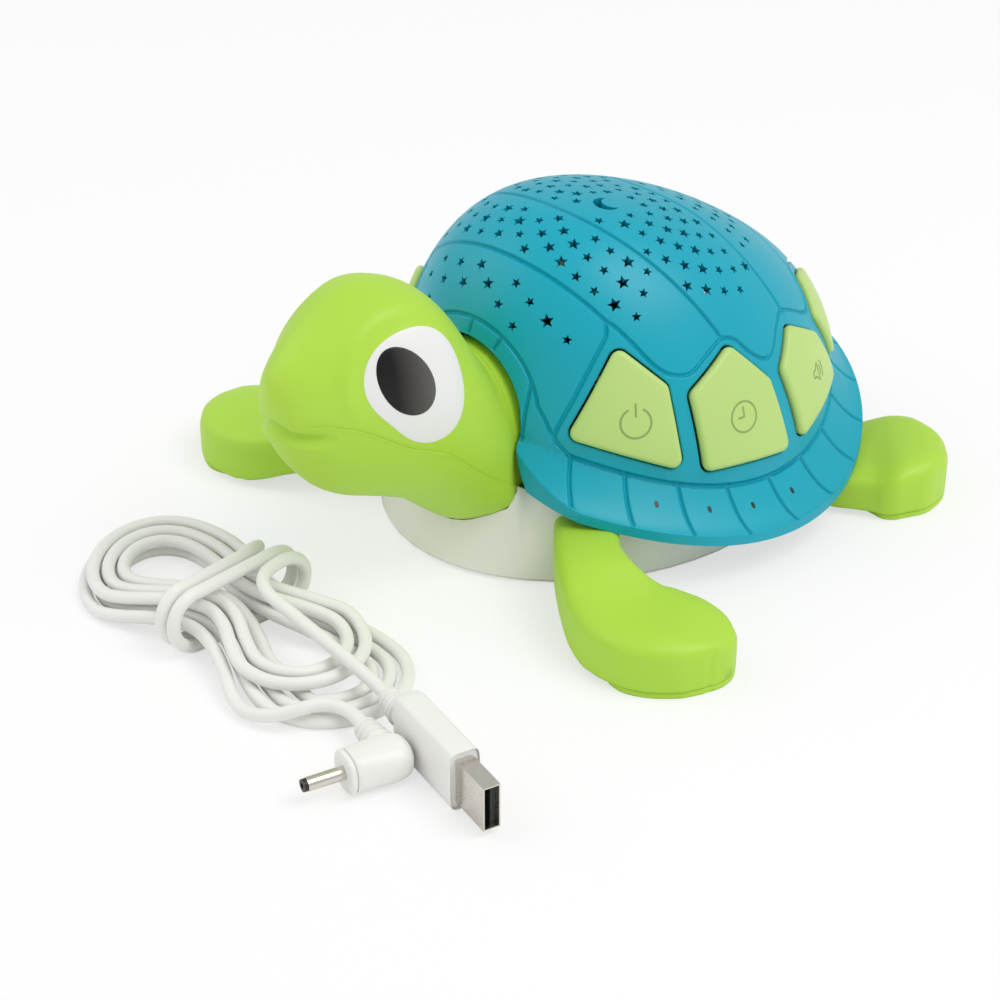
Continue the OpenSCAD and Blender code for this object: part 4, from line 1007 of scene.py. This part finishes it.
def button_cap(i):
    """A cap: rings from the skirt over a quarter-round edge to the middle, closed at both ends."""
    quarter = np.radians(np.arange(0, 91, 11.25))
    inset = BUTTON_ROLL * (1 - np.cos(quarter))
    drop = BUTTON_ROLL * (1 - np.sin(quarter))
    rooms = [SKIRT_ROOM, *(CAP_ROOM + inset)]
    edge = [resampled(button_outline(i, -room), 1, count=BUTTON_RING) for room in rooms]
    middle = edge[-1].mean(0)
    rings = edge + [middle + k * (edge[-1] - middle) for k in BUTTON_INNER]
    heights = [-BUTTON_SKIRT] + (BUTTON_TOP - drop).tolist() + [BUTTON_TOP] * len(BUTTON_INNER)
    points = np.concatenate([on_button(i, ring, height) for ring, height in zip(rings, heights)])
    ends = on_button(i, np.stack([middle, middle]), np.array([-BUTTON_SKIRT, BUTTON_TOP]))
    number = np.arange(BUTTON_RING)
    after = np.roll(number, -1)
    last = (len(rings) - 1) * BUTTON_RING
    low_end = np.stack([after, number, 0 * number + len(points)], -1)
    top_end = np.stack([last + number, last + after, 0 * number + len(points) + 1], -1)
    sides = grid_faces(len(rings), BUTTON_RING, True)
    return np.concatenate([points, ends]), sides.tolist() + low_end.tolist() + top_end.tolist()


def on_side(side, points, faces):
    """A left piece's mesh for that side: as it is, or mirrored with its faces turned round."""
    if side == "left":
        return points, faces
    return points * [-1, 1, 1], [face[::-1] for face in faces]


def stroke(line, width):
    """A flat strip along a line of the plane, as quads."""
    line = np.asarray(line, float)
    along = unit(np.gradient(line, axis=0))
    side = width / 2 * np.stack([-along[:, 1], along[:, 0]], -1)
    return np.stack([line + side, line - side], 1).reshape(-1, 2), grid_faces(len(line), 2)


def arc(radius, first, last, steps):
    """Points of an arc round the mark's middle, with its angles in degrees."""
    return radius * circle(np.radians(np.linspace(first, last, steps)))


def straight(start, end):
    """Six points on the line between two."""
    return np.linspace(start, end, 6)


MARK_W = 0.56
MARK_LIFT = 0.03
MARK_AT = [(-42, 71.8), (-12, 68), (22, 68.2)]
MARKS = [
    [arc(4, 118, 422, 44), straight((0, 1.6), (0, 5.2))],
    [arc(4.1, 0, 360, 48), straight((0.2, 0), (-2, 0)), straight((0, -0.2), (0, 2.8))],
    [straight((-2.4, -0.9), (-2.4, 0.9)), straight((-2.4, 0.9), (-1, 0.9)),
     straight((-2.4, -0.9), (-1, -0.9)), straight((-1, 0.9), (0.8, 2.5)), straight((-1, -0.9), (0.8, -2.5)),
     straight((0.8, -2.6), (0.8, 2.6)), arc(2.2, -38, 38, 14), arc(3.6, -40, 40, 18)],
]
for i in range(4):
    for side in ("left", "right"):
        cap = make_mesh(f"cap_{side}_{i + 1}", *on_side(side, *button_cap(i)), button_paint)
        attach(cap, f"{side}_button_{i + 1}")
        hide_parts(f"button_{side}_{i + 1}")
for i, (place, lines) in enumerate(zip(MARK_AT, MARKS)):
    level, rise = axes_at(skin_normal(polar(*BUTTON_MID[i])))
    shift = skin(polar(*place)) - skin(polar(*BUTTON_MID[i]))
    mark_points, mark_faces, count = [], [], 0
    for line in lines:
        strip, quads = stroke(line, MARK_W)
        mark_points.append(on_button(i, strip + [shift @ level, shift @ rise], BUTTON_TOP + MARK_LIFT))
        mark_faces.append(quads + count)
        count += len(strip)
    mark = make_mesh(f"mark_{i + 1}", np.concatenate(mark_points), np.concatenate(mark_faces), mark_paint)
    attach(mark, f"left_button_{i + 1}")

# Head
# Two hollow lime mouldings that meet at a fine parting line along the cheek, with a mouth crease and a lower
# lip under the front and a soft brow over each eye. Two screws hold the lower one, and glue the upper one.
HEAD_ROWS = [(-125.93, 0.02, 67.77, 67.73), (-125.75, 1.9, 70.4, 65.3), (-125.2, 3.8, 72.3, 62),
             (-124.2, 6.1, 74.2, 55.9), (-121.9, 8.7, 76.9, 50), (-117.9, 11.6, 80, 44.2),
             (-112.9, 14.3, 83.6, 38.7), (-106.9, 16.9, 87, 34.6), (-99.9, 19.6, 89.3, 31.6),
             (-92.9, 22.2, 89.8, 28.8), (-85.9, 23.5, 88.2, 25.2), (-79.9, 23.1, 85, 20.6),
             (-73.9, 22.6, 79, 15.6), (-68.9, 22.2, 71.5, 12.2), (-63.5, 21.4, 63, 11),
             (-60.5, 20.1, 61.3, 11), (-58.5, 19.4, 60.3, 11.2), (-46.5, 19, 59, 13.5)]
SEAM_LINE = [(-138, 61.5), (-119.5, 62), (-114.9, 61), (-109.5, 58.9), (-103.5, 55.2), (-97.5, 51.2),
             (-91, 48.5), (-85, 45.1), (-77.2, 38.3), (-68.5, 31), (-58.5, 26), (-38, 26)]
HEAD_ROUND = 2.1
NECK_FULL = 0.24
NECK_FULL_AT = (-60, 20)
NECK_FULL_REACH = (9, 8)
HEAD_COLUMNS = 128
SEAM_CROWD = 0.35
SEAM_LIP = 0.22
SEAM_FADE = 0.7
EYE_AT = np.array([19.5, SHELL_Y - 94.5, 67])
EYE_OUT = unit(np.array([0.964, -0.182, 0.193]))
EYE_LEVEL, EYE_RISE = axes_at(EYE_OUT)
EYE_MID = np.array([0.9, 0.7])
EYE_R = 14.65
EYE_WIDE = (0.101, 31.8)
EYE_POINT = (0.064, 48.2)
PUPIL_MID = np.array([-3.1, 2.75])
PUPIL_TURN = 118
PUPIL_LONG = 10
PUPIL_WIDE = 6.8
# Where the pupil's painted reflection starts, and how many millimetres it takes to pale to grey.
PUPIL_SHEEN_FRONT = 2.5
PUPIL_SHEEN_FADE = 11
MOUTH_DROP = 3.2
MOUTH_DEPTH = 3
MOUTH_EDGE = 0.4
MOUTH_SOFT = 2.2
MOUTH_END = -121.5
MOUTH_FADE = 7
BEAK_RISE = 2.5
BEAK_WIDE = 5
LIP_DROP = 3.8
LIP_SWELL = 1.1
LIP_WIDE = 2.4
NOSE_LEAN = 3
NOSE_END = -126
NOSE_REACH = 12
LEDGE = 0.6
BROW_SWELL = 0.9
BROW_TURN = 112
BROW_AT = 4.6
BROW_WIDE = 2.4
BROW_FADE = 1.5
head_rows = smooth_line(np.array(HEAD_ROWS), 14)
seam_rows = smooth_line(np.array(SEAM_LINE), 8)


def eye_radius(angle):
    """The egg's radius from its middle: a circle with a little of the second and third harmonics."""
    second = EYE_WIDE[0] * np.cos(2 * (angle - math.radians(EYE_WIDE[1])))
    return EYE_R * (1 - second + EYE_POINT[0] * np.cos(3 * (angle - math.radians(EYE_POINT[1]))))


def pupil_radius(angle):
    """An ellipse's radius from its middle."""
    turn = angle - math.radians(PUPIL_TURN)
    return PUPIL_LONG * PUPIL_WIDE / np.hypot(PUPIL_WIDE * np.cos(turn), PUPIL_LONG * np.sin(turn))


def head_skin(angle):
    """Superellipse sections by the head's rows, at an angle per point, and fuller low down at the neck."""
    half, top, bottom = (head_rows[:, k][:, None] for k in (1, 2, 3))
    across, up = superellipse(angle, HEAD_ROUND)
    y = np.broadcast_to(head_rows[:, :1], angle.shape)
    z = (top + bottom) / 2 + (top - bottom) / 2 * up
    places = zip((y, z), NECK_FULL_AT, NECK_FULL_REACH)
    far = sum(((value - middle) / reach) ** 2 for value, middle, reach in places)
    return np.stack([half * across * (1 + NECK_FULL * np.exp(-far)), y + SHELL_Y, z], -1)


def head_size(y):
    """The head's half width, top and bottom at places along it, straight between its rows."""
    return (np.interp(y - SHELL_Y, head_rows[:, 0], head_rows[:, k]) for k in (1, 2, 3))


def head_out(points):
    """The outward direction at points of the head, across its length: the slope of its superellipse."""
    half, top, bottom = head_size(points[..., 1])
    x = points[..., 0] / half
    z = (points[..., 2] - (top + bottom) / 2) * 2 / (top - bottom)
    steep = np.stack([np.sign(x) * np.abs(x) ** (HEAD_ROUND - 1) / half, 0 * x,
                      np.sign(z) * np.abs(z) ** (HEAD_ROUND - 1) * 2 / (top - bottom)], -1)
    return unit(steep + 1e-12)


def head_swell(points):
    """How far the brows stand out of the head's plain sections: a soft ridge outside the eye's outline."""
    gap = np.abs(points[..., :1]) * [1, 0, 0] + points * [0, 1, 1] - EYE_AT
    level, rise = gap @ EYE_LEVEL - EYE_MID[0], gap @ EYE_RISE - EYE_MID[1]
    angle = np.arctan2(rise, level)
    outside = np.hypot(level, rise) - eye_radius(angle)
    over = ease((np.cos(angle - math.radians(BROW_TURN)) + 0.25) / 1.1)
    ridge = BROW_SWELL * np.exp(-(((outside - BROW_AT) / BROW_WIDE) ** 2))
    return ridge * over * ease(outside / BROW_FADE)


def mouth_swell(points):
    """How far the lips stand in or out: a sharp crease that rises to a beak in front, and a lip under it."""
    y = points[..., 1] - SHELL_Y
    line = np.interp(y, seam_rows[:, 0], seam_rows[:, 1]) - MOUTH_DROP
    under = line + BEAK_RISE / (1 + (points[..., 0] / BEAK_WIDE) ** 2) - points[..., 2]
    crease = MOUTH_DEPTH / (1 + np.exp(-under / MOUTH_EDGE)) * np.exp(-np.maximum(under, 0) / MOUTH_SOFT)
    lip = LIP_SWELL * np.exp(-(((under - LIP_DROP) / LIP_WIDE) ** 2))
    return (lip - crease) * (1 - ease((y - MOUTH_END) / MOUTH_FADE))


def head_half(upper):
    """One half of the head: rows along it, columns from the seam on one side to the seam on the other."""
    half_height = (head_rows[:, 2] - head_rows[:, 3]) / 2
    seam_z = np.interp(head_rows[:, 0], seam_rows[:, 0], seam_rows[:, 1])
    level = np.clip((seam_z - (head_rows[:, 2] + head_rows[:, 3]) / 2) / half_height, -1, 1)
    seam_angle = np.arcsin(np.sign(level) * np.abs(level) ** (HEAD_ROUND / 2))
    even = np.linspace(0, 1, HEAD_COLUMNS + 1)
    t = SEAM_CROWD * (1 - np.cos(np.pi * even)) / 2 + (1 - SEAM_CROWD) * even
    end = np.pi - seam_angle if upper else -np.pi - seam_angle
    angle = seam_angle[:, None] + (end - seam_angle)[:, None] * t
    points = head_skin(angle)
    to_seam = np.abs(points[..., 2] - seam_z[:, None])
    y = points[..., 1] - SHELL_Y
    lip = -SEAM_LIP / 2 if upper else SEAM_LIP
    edge = np.exp(-((to_seam / SEAM_FADE) ** 2)) * ease((y - NOSE_END) / 4 - 0.5) * lip
    out = head_out(points)
    ahead = unit(out + (NOSE_LEAN * (1 - ease((y - NOSE_END) / NOSE_REACH)))[..., None] * [0, -1, 0])
    points = points + (head_swell(points) + edge)[..., None] * out + mouth_swell(points)[..., None] * ahead
    if upper:
        return points
    inside = points - LEDGE * out
    return np.concatenate([inside[:, :1], points, inside[:, -1:]], 1)


lime_paint = moulded("lime_moulding", (0.425, 0.700, 0.045), (0.455, 0.735, 0.055), 0.46)
for half_name, upper in (("head_upper", True), ("head_lower", False)):
    grid = head_half(upper)
    quads = grid_faces(*grid.shape[:2])[:, ::1 if upper else -1]
    piece = make_mesh(f"{half_name}_skin", grid.reshape(-1, 3), quads, lime_paint)
    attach(piece, "body")
    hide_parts(half_name)

# Eyes
# A satin white disc and a dark pupil on each side, pressed into the head and almost flush with it. The pupil
# pales towards its rear: a painted reflection of a soft lamp on its gloss.
EYE_COLUMNS = 120
EYE_SKIRT = -1.2
EYE_INNER = (0.9, 0.8, 0.7, 0.6, 0.5, 0.4, 0.3, 0.2, 0.1)


def on_head(offsets):
    """Points of the head over a left eye's plane, by halving along its normal from inside to outside."""
    foot = EYE_AT + offsets[:, :1] * EYE_LEVEL + offsets[:, 1:] * EYE_RISE
    low, high = np.full(len(foot), -15.0), np.full(len(foot), 12.0)
    for _ in range(36):
        middle = (low + high) / 2
        at = foot + middle[:, None] * EYE_OUT
        half, top, bottom = head_size(at[:, 1])
        across, up = np.abs(at[:, 0] / half), np.abs(at[:, 2] * 2 - top - bottom) / (top - bottom)
        within = across**HEAD_ROUND + up**HEAD_ROUND < 1
        low, high = np.where(within, middle, low), np.where(within, high, middle)
    return foot + middle[:, None] * EYE_OUT


def eye_disc(centre, radius, lift, roll):
    """A disc on the head: rings out to its outline, the last ones rolled down into the head."""
    angle = 2 * np.pi * np.arange(EYE_COLUMNS) / EYE_COLUMNS
    reach = radius(angle)
    steps = np.radians(np.arange(0, 91, 15))
    rings = [(reach, EYE_SKIRT)]
    rings += [(reach - roll * (1 - np.cos(s)), lift - roll * (1 - np.sin(s))) for s in steps]
    rings += [((reach - roll) * k, lift) for k in EYE_INNER]
    points = [on_head(centre + r[:, None] * circle(angle)) + h * EYE_OUT for r, h in rings]
    middle = on_head(centre[None]) + lift * EYE_OUT
    number = np.arange(EYE_COLUMNS)
    last = (len(rings) - 1) * EYE_COLUMNS
    cap = np.stack([last + number, last + np.roll(number, -1), 0 * number + last + EYE_COLUMNS], -1)
    faces = grid_faces(len(rings), EYE_COLUMNS, True).tolist() + cap.tolist()
    return np.concatenate(points + [middle]), faces


white_paint = Paint("eye_white", roughness=0.34)
white_paint.set(Base_Color=white_paint.mix(white_paint.noise(20), (0.83, 0.83, 0.82), (0.86, 0.86, 0.855)))
pupil_paint = Paint("pupil", roughness=0.3)
pupil_grain = pupil_paint.noise(0.4)
pupil_y = EYE_AT[1] + PUPIL_MID[0] * EYE_LEVEL[1] + PUPIL_MID[1] * EYE_RISE[1]
pupil_rear = pupil_paint.add("ShaderNodeSeparateXYZ", None, {0: pupil_paint.place()}, out="Y")
# The pupil's colour pales from black to grey towards its rear: a painted reflection of a soft lamp.
pupil_painted_sheen = (pupil_rear * (1 / MM) + (PUPIL_SHEEN_FRONT - pupil_y)) * (1 / PUPIL_SHEEN_FADE) + 0.1 * pupil_grain
pupil_paint.set(Base_Color=pupil_paint.mix(pupil_painted_sheen, (0.004, 0.004, 0.004), (0.130, 0.122, 0.118)),
                Roughness=0.3 + 0.1 * pupil_grain, Specular_IOR_Level=0.3)
for kind, centre, radius, lift, roll, paint in (("eye_white", EYE_MID, eye_radius, 0.12, 0.35, white_paint),
                                                ("pupil", PUPIL_MID, pupil_radius, 0.3, 0.3, pupil_paint)):
    for side in ("left", "right"):
        disc = on_side(side, *eye_disc(centre, radius, lift, roll))
        piece = make_mesh(f"{kind}_{side}_disc", *disc, paint)
        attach(piece, "body")
        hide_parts(f"{kind}_{side}")

# Flippers
# Lime mouldings with broad flat tops and rounded edges. Each has a thin sole of its own under it, and one
# screw holds it from inside the base.
PADDLE = 15.4
FRONT_ROWS = [(33, -45.5, 8.6, 19.6, 12), (41, -54, 8.8, 20, 9.5), (48.5, -61.5, 9, 20.8, 7.6),
              (57, -66.8, 10.8, 19.9, 6), (64.6, -69.4, 13.4, 17.6, 2.4),
              (71.4, -69.9, 15.4, PADDLE + 0.8, 0), (78, -68.5, 16.4, PADDLE + 0.4, 0),
              (85, -65.7, 14.9, PADDLE + 0.2, 0),
              (90.8, -63.7, 12, PADDLE - 0.7, 0), (94.8, -62.7, 8, PADDLE - 1.9, 0),
              (96.9, -62.4, 4.8, PADDLE - 3.2, 0), (97.9, -62.3, 1.7, PADDLE - 5.5, 0)]
REAR_ROWS = [(40, 24, 9.5, 12.4, 4), (47, 28.5, 11, 12.6, 3), (54.5, 35, 14.6, 12.6, 0.8),
             (60.5, 42.6, 18.8, 13.2, 0), (66, 48, 19.6, PADDLE + 0.2, 0), (71, 52, 16.6, PADDLE + 1, 0),
             (74.3, 55, 12, PADDLE + 0.4, 0), (76.5, 57, 7, PADDLE - 1.4, 0),
             (77.4, 57.8, 2.4, PADDLE - 4, 0)]
FLIPPER_ROUND = 4.2
FLIPPER_FLAT = 9
FLIPPER_COLUMNS = 72
SOLE_H = 2
SOLE_GAP = 0.25
SOLE_SHARE = 0.97
SOLE_TAPER = 9
SOLE_COLUMNS = 140
SOLE_EDGE = 0.5
SOLE_SHRINK = 0.985


def across_rows(rows):
    """The level direction across a flipper at each of its rows."""
    along = unit(np.gradient(rows[:, :2], axis=0))
    return np.stack([along[:, 1], -along[:, 0]], -1)


def flipper_body(rows):
    """Superellipse sections, rounder above than below, cut level over the sole and closed at both ends."""
    side = across_rows(rows)
    angle = np.radians(np.arange(0, 360, 0.5))
    u, v = superellipse(angle, np.where(np.sin(angle) > 0, FLIPPER_ROUND, FLIPPER_FLAT))
    u, v = resampled(np.stack([-u, v], -1), 1, count=FLIPPER_COLUMNS).T
    plan = rows[:, None, :2] + (rows[:, 2][:, None] * u)[..., None] * side[:, None] + [0, SHELL_Y]
    z = (rows[:, 3] + rows[:, 4])[:, None] / 2 + (rows[:, 3] - rows[:, 4])[:, None] / 2 * v
    return ring_solid(np.concatenate([plan, np.maximum(z, SOLE_H)[..., None]], -1))


def flipper_sole(rows):
    """A flat plate under the paddle, round at its root end, with a rounded lower edge."""
    flat = rows[rows[:, 4] < 1]
    near_root = np.clip(1 - np.arange(len(flat)) / SOLE_TAPER, 0, 1)
    side = SOLE_SHARE * (flat[:, 2] * np.sqrt(1 - near_root**2))[:, None] * across_rows(flat)
    outline = np.concatenate([flat[:, :2] + side, (flat[:, :2] - side)[::-1]]) + [0, SHELL_Y]
    outline = resampled(outline, 1, count=SOLE_COLUMNS)
    shrink = outline.mean(0) + (outline - outline.mean(0)) * SOLE_SHRINK
    top = SOLE_H - SOLE_GAP
    loops = [(shrink, 0.02), (outline, SOLE_EDGE), (outline, top), (shrink, top + 0.1)]
    return ring_solid(np.array([np.insert(loop, 2, z, 1) for loop, z in loops]))


for end, corner_rows in (("front", FRONT_ROWS), ("rear", REAR_ROWS)):
    flipper_rows = smooth_line(np.array(corner_rows), 6)
    for side in ("left", "right"):
        for kind, build in (("flipper", flipper_body), ("sole", flipper_sole)):
            made = on_side(side, *build(flipper_rows))
            piece = make_mesh(f"{kind}_{end}_{side}_skin", *made, lime_paint)
            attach(piece, "body")
            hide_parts(f"{kind}_{end}_{side}")

# Base
# A warm white tub with a grille under the speaker and posts for its screws, moulded in one piece. The mesh
# is a copy of the solid with its doubled points merged, so that its walls shade smoothly.
def smooth_copy(name, paint, degrees):
    """A copy of a solid, smooth except over edges sharper than that angle."""
    mesh = nodes[name].data.copy()
    work = bmesh.new()
    work.from_mesh(mesh)
    bmesh.ops.remove_doubles(work, verts=work.verts, dist=1e-6)
    work.to_mesh(mesh)
    work.free()
    mesh.polygons.foreach_set("use_smooth", np.ones(len(mesh.polygons), bool))
    mesh.materials.clear()
    mesh.materials.append(paint.material)
    piece = bpy.data.objects.new(f"{name}_skin", mesh)
    bpy.context.scene.collection.objects.link(piece)
    mesh.set_sharp_from_angle(angle=math.radians(degrees))
    return piece


base_paint = moulded("base_white", (0.86, 0.852, 0.80), (0.89, 0.882, 0.83), 0.42)
base = smooth_copy("base", base_paint, 32)
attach(base, "body")
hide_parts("base")

# Inner pieces
# The deck, boards, switches, lamp, speaker, socket, feet and fasteners, and the light pipes in the brim. They
# are the solids themselves, in one material for each kind of stuff.
def mottled(name, low, high, roughness, size_mm, metallic=0.0):
    """Two close shades in clouds of that size, with a gloss that wanders a little."""
    paint = Paint(name, metallic=metallic)
    cloud = paint.noise(size_mm)
    return paint.set(Base_Color=paint.mix(cloud, low, high), Roughness=roughness + 0.14 * cloud - 0.07)


dress(["deck", "tact_switches", "dc_jack", "board_parts"], black_paint)
dress(["switch_boards", "main_board", "led_board"],
      mottled("solder_mask", (0.012, 0.080, 0.035), (0.020, 0.110, 0.050), 0.35, 3))
dress(["leds"], mottled("lamp_resin", (0.72, 0.68, 0.40), (0.80, 0.76, 0.48), 0.22, 2))
dress(["indicator_lenses"], mottled("smoked_lens", (0.010, 0.014, 0.016), (0.040, 0.050, 0.052), 0.3, 0.7))
dress(["feet"], mottled("foot_rubber", (0.030, 0.030, 0.031), (0.045, 0.044, 0.043), 0.75, 4))
dress(["base_screws", "head_screws", "flipper_screws", "board_screws", "speaker_screws"],
      mottled("screw_steel", (0.46, 0.46, 0.47), (0.56, 0.56, 0.57), 0.32, 1.5, 1.0))
dress(["speaker_frame"], mottled("speaker_steel", (0.40, 0.40, 0.41), (0.48, 0.48, 0.49), 0.4, 5, 1.0))
dress(["speaker_magnet"], mottled("ferrite", (0.055, 0.053, 0.055), (0.080, 0.078, 0.080), 0.6, 2))
dress(["speaker_cone"], mottled("cone_paper", (0.10, 0.095, 0.085), (0.15, 0.14, 0.125), 0.85, 1.2))
